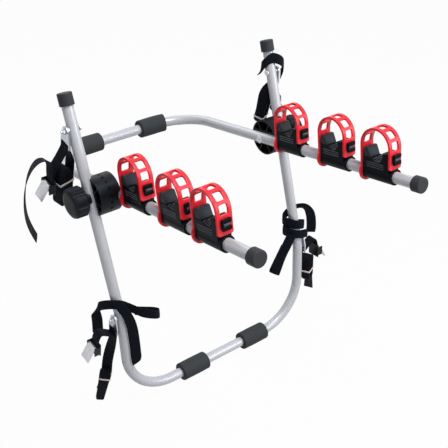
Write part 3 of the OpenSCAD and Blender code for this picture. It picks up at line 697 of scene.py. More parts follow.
@dataclass
class Ribbon:
    """A woven band of even width along a line."""

    width: float = 0.025
    thick: float = 0.0016
    columns: int = 6

    def build(self, name: str, line: Sequence[Vector], sides: Sequence[Vector], bow: float = 0.0,
              closed: bool = False) -> bpy.types.Object:
        """Weaves the band.

        Args:
            name: the piece's name.
            line: middle of the band.
            sides: unit vector across the band at each point.
            bow: how far the middle of the width stands off its edges.
            closed: whether the last point joins the first.

        Returns:
            The band as a closed mesh with a UV map in metres.
        """
        count, columns = len(line), self.columns
        points, uvs, length = [], [], 0.0
        for i, (middle, side) in enumerate(zip(line, sides)):
            before, after = line[max(i - 1, 0)], line[min(i + 1, count - 1)]
            lift = (after - before).cross(side)
            lift = lift.normalized() if lift.length > 1e-9 else Vector((0, 0, 0))
            length += (middle - line[i - 1]).length if i else 0.0
            for j in range(columns + 1):
                u = j / columns - 0.5
                points.append(middle + side * (u * self.width) + lift * (bow * (1 - 4 * u * u)))
                uvs.append((u * self.width, length))
        faces = []
        for i in range(count if closed else count - 1):
            k = (i + 1) % count
            for j in range(columns):
                faces.append((i * (columns + 1) + j, i * (columns + 1) + j + 1,
                              k * (columns + 1) + j + 1, k * (columns + 1) + j))
        obj = Bench.mesh(name, points, faces)
        layer = obj.data.uv_layers.new(name="UVMap")
        for loop in obj.data.loops:
            layer.data[loop.index].uv = uvs[loop.vertex_index]
        Bench.modify(obj, "SOLIDIFY", thickness=self.thick, offset=0.0)
        Bench.round_edges(obj, 0.3 * self.thick, 2, 50.0)
        return Look.WEBBING.on(obj)


class Corner(Enum):
    """The four tie-downs."""

    UPPER_LEFT = "upper_left"
    UPPER_RIGHT = "upper_right"
    LOWER_LEFT = "lower_left"
    LOWER_RIGHT = "lower_right"


SWAY_WAY = Vector((-0.78, 0.60, 0.0))                    # way of a hank that sways, in its bar's axes
HOOK_PLATE = ((-8, 30), (8, 30), (13, -44), (-13, -44))  # outline of a hook, in millimetres


@dataclass
class TieDown:
    """One tie-down: webbing over its shackle bar, its hank, the band round it and its hook.

    Lengths are in millimetres in the axes of the shackle bar, and angles in degrees. The leg runs from the
    buckle to the bar, and the run from the bar to the hank. The hank has its middle, its fold (radius, half
    length, turns), its turn about its length, a curl at its lower end and a sway.
    """

    corner: Corner
    lean: float
    turn: float
    leg: list[Flat]
    run: list[Flat]
    middle: Flat
    fold: tuple[float, float, int]
    band_height: float
    hook_height: float
    still: Flat = (0.0, -60.0)
    curl: float = 0.3
    sway: float = 0.0
    pitch: float = 2.4
    bar_height: float = 6.0
    bar_thick: float = 3.0
    bar_gap: float = 0.9
    half_thick: float = 0.8
    plate: float = 3.0
    under: float = -4.0
    gather: float = 16.0
    waves: tuple[tuple[float, float, float], ...] = ((1.1, 61.0, 0.0), (0.7, 23.0, 1.0))
    tips: Flat = (2.5, 47.0)

    @property
    def right(self) -> bool:
        """Whether it hangs on the right upright."""
        return self.corner in (Corner.UPPER_RIGHT, Corner.LOWER_RIGHT)

    @property
    def axes(self) -> Matrix:
        """Axes of its shackle bar."""
        upper = self.corner in (Corner.UPPER_LEFT, Corner.UPPER_RIGHT)
        return Axes.bar(self.right, Axes.anchor_high if upper else Axes.anchor_low, self.lean)

    @property
    def hank(self) -> Matrix:
        """Axes of its hank, turned about the hank's length."""
        middle = Matrix.Translation(Vector((self.middle[0], 0, self.middle[1])) * MM)
        return self.axes @ middle @ Matrix.Rotation(math.radians(self.turn), 4, "Z")

    @property
    def faces(self) -> Flat:
        """Both sides of the hank with its hook plate, across the hank in millimetres."""
        low, high = self.pitch / 2 - self.fold[0] - self.half_thick, self.fold[0] + self.half_thick
        return (low - self.plate, high) if self.right else (low, high + self.plate)

    def turned(self, height: float) -> float:
        """How far the webbing has turned on its way from the bar to the hank.

        Args:
            height: height of a point, from the bar.

        Returns:
            The turn there, in radians.
        """
        c, f = self.middle, self.fold
        t = min(max((self.under - height) / (self.under - c[1] - f[1] - f[0]), 0.0), 1.0)
        return math.radians(self.turn) * t * t * (3 - 2 * t)

    def gathered(self, height: float) -> float:
        """How wide the webbing still is where it curls in at the lower end of the hank.

        Args:
            height: height of a point, from the bar.

        Returns:
            The share of its width.
        """
        below = self.middle[1] - self.fold[1] + self.gather - height
        t = min(max(below / (self.fold[0] + self.gather), 0.0), 1.0)
        return 1.0 - self.curl * t * t

    def route(self) -> tuple[list[Vector], int]:
        """Middle line of the webbing in its plane, in millimetres.

        Returns:
            Points from the buckle over the bar to the inner end of the hank, and the number of the point at
            which the webbing leaves the bar.
        """
        x, z, r = self.bar_thick / 2, self.bar_height / 2, self.bar_gap
        q = r * math.cos(math.pi / 4)
        turn = [(-x - r, -2), (-x - r, z), (-x - q, z + q), (-x, z + r),
                (x, z + r), (x + q, z + q), (x + r, z), (x + r, -2)]
        c, f = self.middle, self.fold
        top = (c[0] + f[0], c[1] + f[1])
        line = spline([*self.leg, (turn[0][0] - 1.5, turn[0][1] - 7), turn[0]], 7)[:-1]
        line += [Vector(p) for p in turn[:7]]
        leaves = len(line)
        line += spline([turn[7], *self.run, top], 7)
        steps = 32
        for k in range(1, f[2] * steps + 1):
            a, radius = -2 * math.pi * k / steps, f[0] - self.pitch * k / steps
            up = math.sin(a) > 0.001 or k % steps == 0
            line.append(Vector((c[0] + radius * math.cos(a),
                                c[1] + (f[1] if up else -f[1]) + radius * math.sin(a))))
        return line, leaves

    def webbing(self) -> bpy.types.Object:
        """The webbing, laid a little unevenly as a hand folds it.

        Returns:
            The piece that stands for the CAD webbing.
        """
        flat, leaves = self.route()
        x = self.middle[0]
        line, sides, length = [], [], 0.0
        for i, p in enumerate(flat):
            length += (p - flat[i - 1]).length if i else 0.0
            hangs = i >= leaves
            a = self.turned(p.y) if hangs else 0.0
            side = Vector((-math.sin(a), math.cos(a), 0.0))
            drift = sum(size * math.sin(length / span + start) for size, span, start in self.waves)
            below = max(0.0, self.middle[1] + self.band_height - p.y) if hangs else 0.0
            place = Vector((x + (p.x - x) * math.cos(a), (p.x - x) * math.sin(a), p.y))
            line.append((place + side * drift + SWAY_WAY * self.sway * below) * MM)
            tip = math.radians(self.tips[0] * math.sin(length / self.tips[1]))
            after, before = flat[min(i + 1, len(flat) - 1)], flat[max(i - 1, 0)]
            over = after.x - before.x
            way = Vector((over * math.cos(a), over * math.sin(a), after.y - before.y))
            share = self.gathered(p.y) if hangs else 1.0
            sides.append(Matrix.Rotation(tip, 3, way.normalized()) @ side * share)
        obj = Bench.put(Ribbon().build(f"tie_down_{self.corner.value}", line, sides), self.axes)
        low = self.axes @ (Vector((self.still[0], 0, self.still[1])) * MM)
        high = self.axes @ (Vector((self.still[0] * 0.1, 0, self.under)) * MM)
        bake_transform(obj)
        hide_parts(f"webbing_{self.corner.value}")
        return obj

    def band(self) -> bpy.types.Object:
        """Rubber band round the hank and the hook.

        Returns:
            The band.
        """
        x0, x1 = self.faces
        half_x, half_y, radius, wave = (x1 - x0) / 2 + 0.9, 13.4, 3.0, 0.8
        line = []
        for cx, cy, start in ((1, 1, 0), (-1, 1, 90), (-1, -1, 180), (1, -1, 270)):
            for k in range(7):
                a = math.radians(start + 15 * k)
                line.append(Vector(((x0 + x1) / 2 + cx * (half_x - radius) + radius * math.cos(a),
                                    cy * (half_y - radius) + radius * math.sin(a),
                                    self.band_height + wave * math.sin(3 * a))) * MM)
        ring = Ribbon(width=0.0048, thick=0.0013, columns=3)
        obj = ring.build(f"hank_band_{self.corner.value}", line, [Vector((0, 0, 1))] * len(line), closed=True)
        Look.TIE.on(Bench.put(obj, self.hank))
        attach(obj, "lower_frame")
        return obj

    def hook(self) -> bpy.types.Object:
        """Coated hook plate that lies on the right-hand side of the hank.

        Returns:
            The hook.
        """
        border, dish, wall, edge = 0.0035, 0.0009, 0.0024, 0.0007
        top = self.band_height - self.hook_height
        points = [Vector((0, y + self.sway * (top - z), z)) * MM for y, z in HOOK_PLATE]
        out = -1 if self.right else 1
        obj = Bench.mesh(f"hook_{self.corner.value}", points, [(0, 1, 2, 3)])
        Bench.edit(obj,
                   ("inset", {"thickness": border, "depth": 0.0}),
                   ("extrude_region_move", {"TRANSFORM_OT_translate": {"value": (dish * out, 0, 0)}}))
        Bench.modify(obj, "SOLIDIFY", thickness=wall, offset=0.0)
        Bench.round_edges(obj, edge, 3, 30.0)
        across = self.faces[0] + self.plate / 2 if self.right else self.faces[1] - self.plate / 2
        place = self.hank @ Matrix.Translation(Vector((across, 0, self.hook_height)) * MM)
        Look.HOOK.on(Bench.put(obj, place))
        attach(obj, "lower_frame")
        return obj

    def build(self) -> list[bpy.types.Object]:
        """All the soft pieces of this tie-down."""
        return [self.webbing(), self.band(), self.hook()]


class Lie(Enum):
    """Ways across a band that hangs toward the arms, in the axes of the lower frame."""

    UP = (0.0, -0.27, 0.96)
    LEVEL = (0.78, -0.6, -0.17)
    SLANT = (0.6, -0.6, 0.5)
    DIP = (0.71, -0.43, -0.56)


Station = tuple[float, float, float, Lie]


@dataclass
class Wrap:
    """Webbing laid round an upright or hanging from it.

    The stations are in millimetres from the upright's axis at an anchor bolt, each with the way across the
    band. The place is that bolt's, across the frame and along the upright from the hinge.
    """

    name: str
    node: str
    place: tuple[float, float]
    stations: list[Station]
    bow: float = 0.0006

    def build(self) -> list[bpy.types.Object]:
        """Weaves the band through its stations.

        Returns:
            The band alone.
        """
        line = [p * MM for p in spline([s[:3] for s in self.stations], 8)]
        sides = [p.normalized() for p in spline([s[3].value for s in self.stations], 8)]
        place = Axes.lower() @ Matrix.Translation(Vector((self.place[0], 0, self.place[1])) * MM)
        obj = Bench.put(Ribbon().build(self.name, line, sides, self.bow), place)
        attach(obj, "lower_frame")
        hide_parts(self.node)
        return [obj]


@dataclass
class LooseTail:
    """Spare end that leaves the upper left buckle, turns over and hangs outside it.

    The points are in millimetres from the start, which is where it leaves the buckle, in the bar's axes.
    """

    points: list[Flat] = field(default_factory=lambda: [
        (0, 0), (0, 18), (0, 40), (-8, 58), (-26, 62), (-43, 46), (-55, 12), (-59, -36), (-56, -80),
        (-47, -118), (-32, -160)])
    start: tuple[float, float, float] = (-36.2, 0.0, -82.0)
    lean: float = 16.0
    twist: float = 34.0
    bow: float = 0.0004

    def build(self) -> list[bpy.types.Object]:
        """Weaves the tail, twisted a little as it hangs.

        Returns:
            The tail alone.
        """
        line = [Vector((p.x, 0.0, p.y)) * MM for p in spline(self.points, 8)]
        sides = []
        for i in range(len(line)):
            way = (line[min(i + 1, len(line) - 1)] - line[max(i - 1, 0)]).normalized()
            turn = math.radians(self.twist * min(1.0, 1.6 * i / len(line)))
            sides.append(Matrix.Rotation(turn, 3, way) @ Vector((0, 1, 0)))
        place = Axes.bar(False, Axes.anchor_high, self.lean) @ Matrix.Translation(Vector(self.start) * MM)
        obj = Bench.put(Ribbon().build("loose_tail_upper_left", line, sides, self.bow), place)
        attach(obj, "lower_frame")
        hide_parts("tail_upper_left")
        return [obj]


def wraps() -> list[Wrap]:
    """Bands round the uprights and their free ends, in millimetres.

    Returns:
        Three bands and two free ends, by corner.
    """
    up, level, slant, dip = Lie.UP, Lie.LEVEL, Lie.SLANT, Lie.DIP
    high_right, low_left, low_right = (270, 148), (-270, -282), (270, -282)
    return [
        Wrap("loop_upper_right", "wrap_upper_right", high_right, [
            (-9, 27, 2, slant), (-17, 12, 14, up), (-17, -5, 25, up), (-4.5, -16.3, 33, up),
            (13, -21, 26, up), (29, -15, 14, up), (36, -2, 0, up), (34, 8, -14, up)]),
        Wrap("loop_lower_left", "wrap_lower_left", low_left, [
            (-31, 74, -48, level), (-31, 60, -12, level), (-35, 45, 16, slant), (-33, 23, 33, up),
            (-22, 0, 38, up), (-11, -14.5, 37, up), (4, -18, 31, up), (20, -23, 18, up), (40, -36, 1, up),
            (64, -46, -10, up), (78, -39, -14, up), (75, -20, -14, up), (56, -5, -9, up), (36, -4, 0, up)]),
        Wrap("free_end_lower_left", "drape_lower_left", low_left, [
            (-8, -22.5, 47, level), (-5, -25.5, 32, level), (3, -30, 9, slant), (10, -25, -24, level),
            (13, -14, -62, level), (13, -5, -101, level), (12, 1, -127, slant)], 0.0015),
        Wrap("loop_lower_right", "wrap_lower_right", low_right, [
            (44, -8, 2, level), (43, -16, 20, level), (42, -21, 50, level), (38, -18, 71, level),
            (25, -4, 80, slant), (4, 18, 70, up), (-24, 14, 58, up), (-15, -11.5, 46, up), (8, -17, 36, up),
            (26, -6, 32, up), (10, 18, 32, up), (-25, 18, 29, up), (-23, -9, 21, up), (-4, -22, 15, up),
            (20, -24, 11, up)]),
        Wrap("free_end_lower_right", "drape_lower_right", low_right, [
            (-24, -13, 19, level), (-36, 0, -10, dip), (-44, 18, -40, dip), (-53, 40, -84, dip),
            (-54, 46, -92, dip), (-53, 50, -86, dip), (-41, 26, -44, dip), (-33, 8, -14, dip)])]


# --------------------------------------------------------------------------- cradles and straps


@dataclass
class Strap:
    """Red rubber strap: a ring round the arm, an arch with holes, and a tail on the peg."""

    node: str
    right: bool
    at: float
    width: float = 0.035
    thick: float = 0.0045
    ring: float = 0.0225
    bore: float = 0.01285
    rise: float = 0.061
    arch: float = 0.038
    low: float = 0.0175
    peg: float = 0.040
    pitch: float = 0.026
    hole: float = 0.019
    peg_hole: float = 0.0196
    holes: int = 6
    corner: float = 0.005
    hole_corner: float = 0.0035
    collar: float = 0.024
    neck: float = 0.019
    bend: Flat = (0.020, 0.055)
    across: int = 14
    upward: int = 10

    def along(self, s: float) -> Flat:
        """Place of the strap's middle at a length from its lower end.

        Args:
            s: length along the strap.

        Returns:
            Distances outward and up.
        """
        strip, arc = self.rise - self.low, math.pi * self.arch
        if s < strip:
            return 2 * self.arch, self.low + s
        if s < strip + arc:
            a = (s - strip) / self.arch
            return self.arch * (1 + math.cos(a)), self.rise + self.arch * math.sin(a)
        return 0.0, self.rise - (s - strip - arc)

    def _rim(self, s0: float, s1: float) -> list[Vector]:
        """Outer points of one cell of the strap.

        Args:
            s0: where the cell starts along the strap.
            s1: where it ends.

        Returns:
            (across, along) points in order round the cell.
        """
        w, n, m = self.width / 2, self.across, self.upward
        rim = [Vector((-w + 2 * w * j / n, s0)) for j in range(n)]
        rim += [Vector((w, s0 + (s1 - s0) * k / m)) for k in range(m)]
        rim += [Vector((w - 2 * w * j / n, s1)) for j in range(n)]
        return rim + [Vector((-w, s1 - (s1 - s0) * k / m)) for k in range(m)]

    def _opening(self, middle: float, w: float, h: float, r: float) -> list[Vector]:
        """Points of a hole with round corners, matched to a cell's rim.

        Args:
            middle: middle of the hole along the strap.
            w: width of the hole.
            h: its length along the strap.
            r: radius of its corners.

        Returns:
            (across, along) points in the order of the rim's.
        """
        points = []
        sides = ((self.across, -1, -1, 225), (self.upward, 1, -1, 315), (self.across, 1, 1, 45),
                 (self.upward, -1, 1, 135))
        for i, (count, cx, cy, start) in enumerate(sides):
            nx, ny = sides[(i + 1) % 4][1:3]
            first = Vector((cx * (w / 2 - r), cy * (h / 2 - r)))
            last = Vector((nx * (w / 2 - r), ny * (h / 2 - r)))
            for k in range(count):
                a = math.radians(start + min(k, 3) * 15 + max(0, k - (count - 3)) * 15)
                share = min(max((k - 3) / (count - 6), 0.0), 1.0)
                points.append(first.lerp(last, share) + Vector((math.cos(a), math.sin(a))) * r)
        return [p + Vector((0.0, middle)) for p in points]

    def _sheet(self) -> tuple[list[Vector], list[tuple[int, ...]]]:
        """The strap laid flat.

        Returns:
            Its (across, along) points and its faces.
        """
        points: list[Vector] = []
        faces: list[tuple[int, ...]] = []

        def cell(inner: list[Vector], outer: list[Vector]) -> None:
            """Adds rings of faces from a hole to its rim.

            Args:
                inner: points of the hole.
                outer: points of the rim.
            """
            base, n, loops = len(points), len(inner), (0.0, 0.3, 0.65, 1.0)
            for t in loops:
                points.extend(a.lerp(b, t) for a, b in zip(inner, outer))
            for k in range(len(loops) - 1):
                for i in range(n):
                    a, b = base + k * n + i, base + k * n + (i + 1) % n
                    faces.append((a, b, b + n, a + n))

        def rows(levels: Sequence[tuple[float, float]]) -> None:
            """Adds a plain stretch.

            Args:
                levels: (along, half width) of each row.
            """
            base, n = len(points), self.across
            for s, half in levels:
                points.extend(Vector((half * (2 * j / n - 1), s)) for j in range(n + 1))
            for k in range(len(levels) - 1):
                for j in range(n):
                    a = base + k * (n + 1) + j
                    faces.append((a, a + 1, a + n + 2, a + n + 1))

        w, r = self.width / 2, self.corner
        start = self.peg - self.low - self.pitch / 2
        arcs = [math.radians(15 * k) for k in range(7)]
        rows([(r * (1 - math.cos(a)), w - r + r * math.sin(a)) for a in arcs] + [(start, w)])
        for i in range(self.holes):
            s0 = start + i * self.pitch
            wide = self.hole if i else self.peg_hole
            cell(self._opening(s0 + self.pitch / 2, wide, self.hole, self.hole_corner),
                 self._rim(s0, s0 + self.pitch))
        top = start + self.holes * self.pitch
        centre = self.rise - self.low + math.pi * self.arch + self.rise
        collar, neck = centre - self.collar, centre - self.neck
        rows([(top + (collar - top) * k / 6, w) for k in range(7)])
        turn = math.acos(w / self.ring)
        hub = Vector((0.0, centre))
        outer = [Vector((-w + 2 * w * j / self.across, collar)) for j in range(self.across)]
        outer += [Vector((w, collar)), Vector((w, neck))]
        for k in range(31):
            a = -turn + (math.pi + 2 * turn) * k / 30
            outer.append(hub + Vector((math.cos(a), math.sin(a))) * self.ring)
        outer.append(Vector((-w, neck)))
        cell([hub + (p - hub).normalized() * self.bore for p in outer], outer)
        return points, faces

    def build(self) -> list[bpy.types.Object]:
        """Bends the flat strap over its saddle and gives it its thickness.

        Returns:
            The strap alone.
        """
        points, faces = self._sheet()
        bent = []
        for p in points:
            outward, up = self.along(p.y)
            bent.append(Vector((p.x, -outward, up)))
        obj = Bench.mesh(f"red_{self.node}", bent, faces)
        Bench.edit(obj, ("remove_doubles", {"threshold": 0.00002}),
                   ("normals_make_consistent", {"inside": False}))
        Bench.modify(obj, "SOLIDIFY", thickness=self.thick, offset=0.0)
        Bench.round_edges(obj, 0.0009, 3, 45.0)
        place = Axes.ring(self.right, self.at)
        Look.STRAP.on(Bench.put(obj, place))
        low, high = (place @ Vector((0, 0, height)) for height in self.bend)
        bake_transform(obj)
        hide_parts(self.node)
        return [obj]


@dataclass
class Cradle:
    """What a cradle body carries: a soft sloped block, low ribs in its saddle and on its flanks, and a lip.

    The lip lies in the head of the peg, at the peg's distance outward and height, with its half height.
    """

    name: str
    right: bool
    at: float
    width: float = 0.032
    seat: float = 0.035
    start: float = 0.004
    face: float = 0.02325
    middle: Flat = (0.040, 0.045)
    saddle: float = 0.017
    peg: tuple[float, float, float] = (0.08325, 0.040, 0.0030)
    lip_width: float = 0.0150
    rib: float = 0.0010
    rib_angles: tuple[float, ...] = (-38, -22, -6, 10, 26, 42)
    rib_wave: Flat = (4.0, 520.0)
    rib_heights: tuple[float, ...] = (0.0165, 0.0210, 0.0255)
    rib_reach: tuple[float, ...] = (0.014, 0.036, 0.060)

    def pad(self) -> bpy.types.Object:
        """Soft block on the vehicle side of the saddle.

        Returns:
            The block.
        """
        s, z, face = self.start, self.seat, self.face
        back, top = s + 0.0015, z + 0.0205
        outline = [(back, z), (back, z + 0.018), (s + 0.004, top), (s + 0.0105, top),
                   (s + 0.012, z + 0.019), (face, z + 0.001), (face, z)]
        obj = Bench.prism(f"soft_block_{self.name}", outline, self.width - 0.002)
        Bench.round_edges(obj, 0.0008, 3, 25.0)
        Look.CRADLE_PAD.on(Bench.put(obj, Axes.ring(self.right, self.at)))
        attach(obj, "upper_frame")
        return obj

    def beads(self) -> bpy.types.Object:
        """Low moulded ribs that wave across the floor of the saddle, and straight ones along both flanks,
        coloured lighter than the body as a painted highlight.

        Returns:
            The ribs of one cradle.
        """
        lines = []
        swing, waves = self.rib_wave
        for angle in self.rib_angles:
            line = []
            for k in range(25):
                x = (k / 24 - 0.5) * (self.width - 0.004)
                a = math.radians(angle + swing * math.sin(x * waves))
                line.append(Vector((x, self.saddle * math.sin(a) - self.middle[0],
                                    self.middle[1] - self.saddle * math.cos(a))))
            lines.append(line)
        for flank in (-0.5, 0.5):
            for height in self.rib_heights:
                lines.append([Vector((flank * self.width, -out, height)) for out in self.rib_reach])
        obj = Bench.bead(f"beads_{self.name}", lines, self.rib)
        Look.RIB.on(Bench.put(obj, Axes.ring(self.right, self.at)))
        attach(obj, "upper_frame")
        return obj

    def lip(self) -> bpy.types.Object:
        """Raised bar in the groove of the peg's head, coloured lighter than the body as a painted highlight.

        Returns:
            The bar.
        """
        out, height, half = self.peg
        low, high, slope = height - half, height + half, 0.0014
        back, shoulder, nose = out - 0.003, out + 0.0004, out + 0.0016
        outline = [(back, low), (shoulder, low), (nose, low + slope), (nose, high - slope),
                   (shoulder, high), (back, high)]
        obj = Bench.prism(f"peg_lip_{self.name}", outline, self.lip_width)
        Bench.round_edges(obj, 0.0006, 3, 25.0)
        Look.RIB.on(Bench.put(obj, Axes.ring(self.right, self.at)))
        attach(obj, "upper_frame")
        return obj

    def build(self) -> list[bpy.types.Object]:
        """The soft block, the ribs and the lip of the peg."""
        return [self.pad(), self.beads(), self.lip()]


CRADLE_ROWS = {"left": (0.069, 0.210, 0.323), "right": (0.068, 0.214, 0.342)}  # strap rings along each arm


def cradle_rows() -> list[Union[Strap, Cradle]]:
    """Straps and cradles of both arms, from the hinge outward.

    Returns:
        Each strap, followed by its cradle.
    """
    row: list[Union[Strap, Cradle]] = []
    for side, places in CRADLE_ROWS.items():
        for word, at in zip(("first", "second", "third"), places):
            row.append(Strap(f"strap_{side}_{word}", side == "right", at))
            row.append(Cradle(f"{side}_{word}", side == "right", at))
    return row


# --------------------------------------------------------------------------- crossbar sleeves


class Bar(Enum):
    """The crossbars: half of the straight, radius of the bends and distance behind the hinge."""

    UPPER = (0.109, 0.105, 0.324)
    LOWER = (0.149, 0.121, 0.0)


@dataclass
class Sleeve:
    """Foam sleeve on a crossbar, bent with its tube."""

    node: str
    x: float
    bar: Bar
    length: float = 0.078
    outside: float = 0.023
    bore: float = 0.01255
    corner: float = 0.003
    sag: float = 0.0005
    puff: float = 0.0003
    steps: int = 14

    @property
    def upper(self) -> bool:
        """Whether it lies on the upper frame."""
        return self.bar is Bar.UPPER

    def build(self) -> list[bpy.types.Object]:
        """Spins the sleeve, puffs it a little and bends it along the bar.

        Returns:
            The sleeve alone.
        """
        h, r, b, c, n = self.length / 2, self.outside, self.bore, self.corner, self.steps
        profile = [(-h, b)] + [(-h, b + (r - c - b) * k / 3) for k in range(1, 4)]
        arcs = [math.radians(18 * k) for k in range(1, 6)]
        profile += [(-h + c - c * math.cos(a), r - c + c * math.sin(a)) for a in arcs]
        profile += [(-h + c + (2 * h - 2 * c) * k / n, r - self.sag * (2 * k / n - 1) ** 2 + self.puff)
                    for k in range(1, n)]
        profile += [(-x, y) for x, y in reversed(profile[4:9])] + [(h, y) for _, y in reversed(profile[:4])]
        profile += [(h - 2 * h * k / n, b) for k in range(1, n)]
        obj = Bench.lathe(f"foam_{self.node}", profile, 56)
        reach, bend, behind = self.bar.value
        for vertex in obj.data.vertices:
            x = vertex.co.x + self.x
            over = abs(x) - reach
            if over > 0:
                a = over / bend
                off = vertex.co.y if self.upper else vertex.co.z
                turned = bend + (off if self.upper else -off)
                x = math.copysign(reach + turned * math.sin(a), x)
                y = turned * math.cos(a) - bend
                if self.upper:
                    vertex.co.y = y
                else:
                    vertex.co.z = -y
            vertex.co.x = x
        if self.upper:
            place = Axes.upper() @ Matrix.Translation((0.0, behind, 0.0))
        else:
            place = Matrix.Rotation(Axes.toe - Axes.lean, 4, "X")
        Bench.smooth(obj, 35.0)
        Look.PAD.on(Bench.put(obj, place))
        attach(obj, "upper_frame" if self.upper else "lower_frame")
        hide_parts(self.node)
        return [obj]


def sleeves() -> list[Sleeve]:
    """The four sleeves, by their middle along the bar."""
    return [Sleeve("lower_pad_left", -0.085, Bar.LOWER), Sleeve("lower_pad_right", 0.110, Bar.LOWER),
            Sleeve("upper_pad_left", -0.098, Bar.UPPER), Sleeve("upper_pad_right", 0.098, Bar.UPPER)]


# --------------------------------------------------------------------------- hard nodes and studio


@dataclass
class HardParts:
    """CAD nodes that stay in view, each with its finish."""

    looks: dict[str, Look] = field(default_factory=lambda: {
        "lower_tube": Look.TUBE, "upper_tube": Look.TUBE, "upright_cap": Look.CAP, "arm_cap": Look.CAP,
        "hub_": Look.HUB, "saddle_washers": Look.HUB, "knob_": Look.HUB, "insert_": Look.BRASS,
        "anchor_": Look.ZINC, "hinge_bolts": Look.ZINC, "shackle_": Look.ZINC, "lever_": Look.ZINC,
        "cradle_left": Look.CRADLE, "cradle_right": Look.CRADLE, "cradle_pads": Look.CRADLE_PAD,
        "buckle_": Look.BUCKLE, "strap_hooks": Look.HOOK, "hank_ties": Look.TIE, "strap_": Look.STRAP,
        "webbing_": Look.WEBBING, "tail_": Look.WEBBING, "wrap_": Look.WEBBING, "drape_": Look.WEBBING,
        "lower_pad": Look.PAD, "upper_pad": Look.PAD})

    def build(self, nodes: dict[str, bpy.types.Object]) -> None:
        """Dresses every node by the start of its name.

        Args:
            nodes: the CAD nodes by name.
        """
        for name, obj in nodes.items():
            look = next(look for start, look in self.looks.items() if name.startswith(start))
            look.on(obj)
            LOG.info("node %s: %s", name, look.value.name)


@dataclass(frozen=True)
class Lamp:
    """A soft square lamp: its place, its side in metres and its power in watts."""

    name: str
    place: tuple[float, float, float]
    size: float
    power: float

    def build(self, aim: Vector) -> None:
        """Hangs the lamp.

        Args:
            aim: the point that it faces.
        """
        data = bpy.data.lights.new(self.name, "AREA")
        data.size, data.energy = self.size, self.power
        obj = bpy.data.objects.new(self.name, data)
        obj.location = self.place
        obj.rotation_euler = (aim - Vector(self.place)).to_track_quat("-Z", "Y").to_euler()
        bpy.context.scene.collection.objects.link(obj)


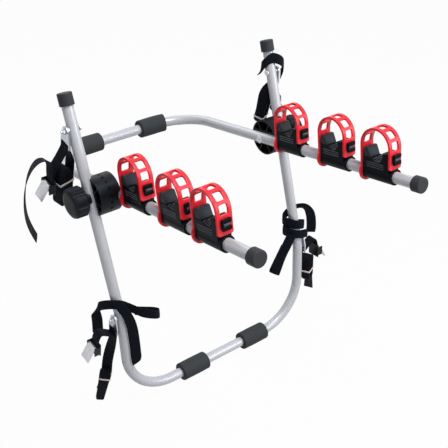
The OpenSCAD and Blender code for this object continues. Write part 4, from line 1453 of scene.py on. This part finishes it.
@dataclass
class Studio:
    """Pale floor, soft lamps, white surround and the camera of the photograph."""

    floor_z: float
    place: tuple[float, float, float] = (-0.9475, -1.2327, 1.3025)
    turn: tuple[float, float, float] = (55.57, 0.0, -38.94)
    lens: float = 62.36
    shift: Flat = (-0.0226, 0.1184)
    white: RGB = (1.0, 1.0, 1.0)
    soft: RGB = (0.22, 0.225, 0.235)
    paint: RGB = (0.48, 0.48, 0.49)
    glow: float = 0.97
    aim: tuple[float, float, float] = (0.0, 0.0, 0.4)
    lamps: tuple[Lamp, ...] = (Lamp("key", (0.1, -1.2, 3.1), 1.5, 88.0),
                               Lamp("fill", (1.6, -2.2, 1.5), 1.6, 40.0),
                               Lamp("back", (0.4, 2.4, 2.2), 1.6, 16.0))

    def camera(self) -> None:
        """Makes the scene's camera."""
        data = bpy.data.cameras.new("photo_camera")
        data.lens, data.sensor_width = self.lens, 36.0
        data.shift_x, data.shift_y = self.shift
        obj = bpy.data.objects.new("photo_camera", data)
        obj.location = self.place
        obj.rotation_euler = [math.radians(a) for a in self.turn]
        bpy.context.scene.collection.objects.link(obj)
        bpy.context.scene.camera = obj

    def seen(self, tree: Tree) -> Sock:
        """1 for rays from the camera, mirrors and glass, else 0."""
        path = tree.node("ShaderNodeLightPath")
        return (path["Is Camera Ray"] + path["Is Glossy Ray"] + path["Is Transmission Ray"]).clip()

    def surround(self) -> None:
        """White surround for the camera and mirrors, softer light for the object."""
        world = bpy.data.worlds.new("white_surround")
        bpy.context.scene.world = world
        tree = Tree(world)
        tone = tree.mix(self.seen(tree), rgba(self.soft), rgba(self.white))
        shell = tree.node("ShaderNodeBackground", None, {"Color": tone, "Strength": 1.0})
        tree.node("ShaderNodeOutputWorld", None, {"Surface": shell[0]})

    def floor(self) -> None:
        """Pale floor that keeps a soft shadow."""
        bpy.ops.object.select_all(action="DESELECT")
        bpy.ops.mesh.primitive_plane_add(size=40.0, location=(0.0, 0.0, self.floor_z))
        obj = bpy.context.active_object
        obj.name = "studio_floor"
        material = bpy.data.materials.new("pale_floor")
        tree = Tree(material)
        paint = tree.node("ShaderNodeBsdfDiffuse", None, {"Color": rgba(self.paint)})
        glow = tree.node("ShaderNodeEmission", None, {"Color": rgba(self.white), "Strength": 1.0})
        share = self.seen(tree) * self.glow
        both = tree.node("ShaderNodeMixShader", None, {0: share, 1: paint[0], 2: glow[0]})
        tree.node("ShaderNodeOutputMaterial", None, {"Surface": both[0]})
        obj.data.materials.append(material)
        obj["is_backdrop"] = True

    def build(self) -> None:
        """Sets up camera, surround, floor and lamps."""
        bpy.context.scene.view_settings.view_transform = "Standard"
        self.camera()
        self.surround()
        self.floor()
        for lamp in self.lamps:
            lamp.build(Vector(self.aim))


# --------------------------------------------------------------------------- assembly


def tie_downs() -> list[TieDown]:
    """The tie-downs with their routes, in millimetres.

    Returns:
        One tie-down for each corner.
    """
    return [
        TieDown(Corner.UPPER_LEFT, 16, 15, [(-34, -108), (-34, -86), (-34, -72), (-28, -52), (-14, -28)],
                [(10, -24), (16, -46)], (-5, -108), (18, 34, 5), 14, -16),
        TieDown(Corner.UPPER_RIGHT, 17, -25, [(-34, -94), (-34, -72), (-34, -58), (-28, -40), (-13, -22)],
                [(10, -13), (25, -21)], (14, -66), (15, 32, 4), -26, -16, (0, -34)),
        TieDown(Corner.LOWER_LEFT, 12, 50, [(-46, -42), (-46, -20), (-46, -6), (-38, 12), (-20, 2)],
                [(2, -28), (0, -74), (-4, -122)], (-18, -188), (14, 40, 4), 36, 6, (-40, -30), 0.75, 0.14),
        TieDown(Corner.LOWER_RIGHT, -2, -25, [(-51, -38), (-51, -16), (-51, -2), (-42, 14), (-20, 3)],
                [(3, -14), (-6, -28)], (-26, -70), (14, 26, 4), -8, -32, (-40, -30))]


def main() -> None:
    """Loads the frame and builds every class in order."""
    logging.basicConfig(level=logging.INFO, format="%(message)s")
    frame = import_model()
    cad_low, cad_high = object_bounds()
    Studio(cad_low.z - 0.001).build()
    HardParts().build(frame["nodes"])
    parts: list[Any] = [*tie_downs(), *wraps(), LooseTail(), *cradle_rows(), *sleeves()]
    blocks, bands, hooks = [], [], []
    for part in parts:
        for piece in part.build():
            LOG.info("piece %s: %d faces", piece.name, len(piece.data.polygons))
            for start, kept in (("soft_block", blocks), ("hank_band", bands), ("hook_", hooks)):
                if piece.name.startswith(start):
                    kept.append(piece)
    for kept, node in ((blocks, "cradle_pads"), (bands, "hank_ties"), (hooks, "strap_hooks")):
        for piece in kept:
            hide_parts(node)


if __name__ == "__main__":
    main()
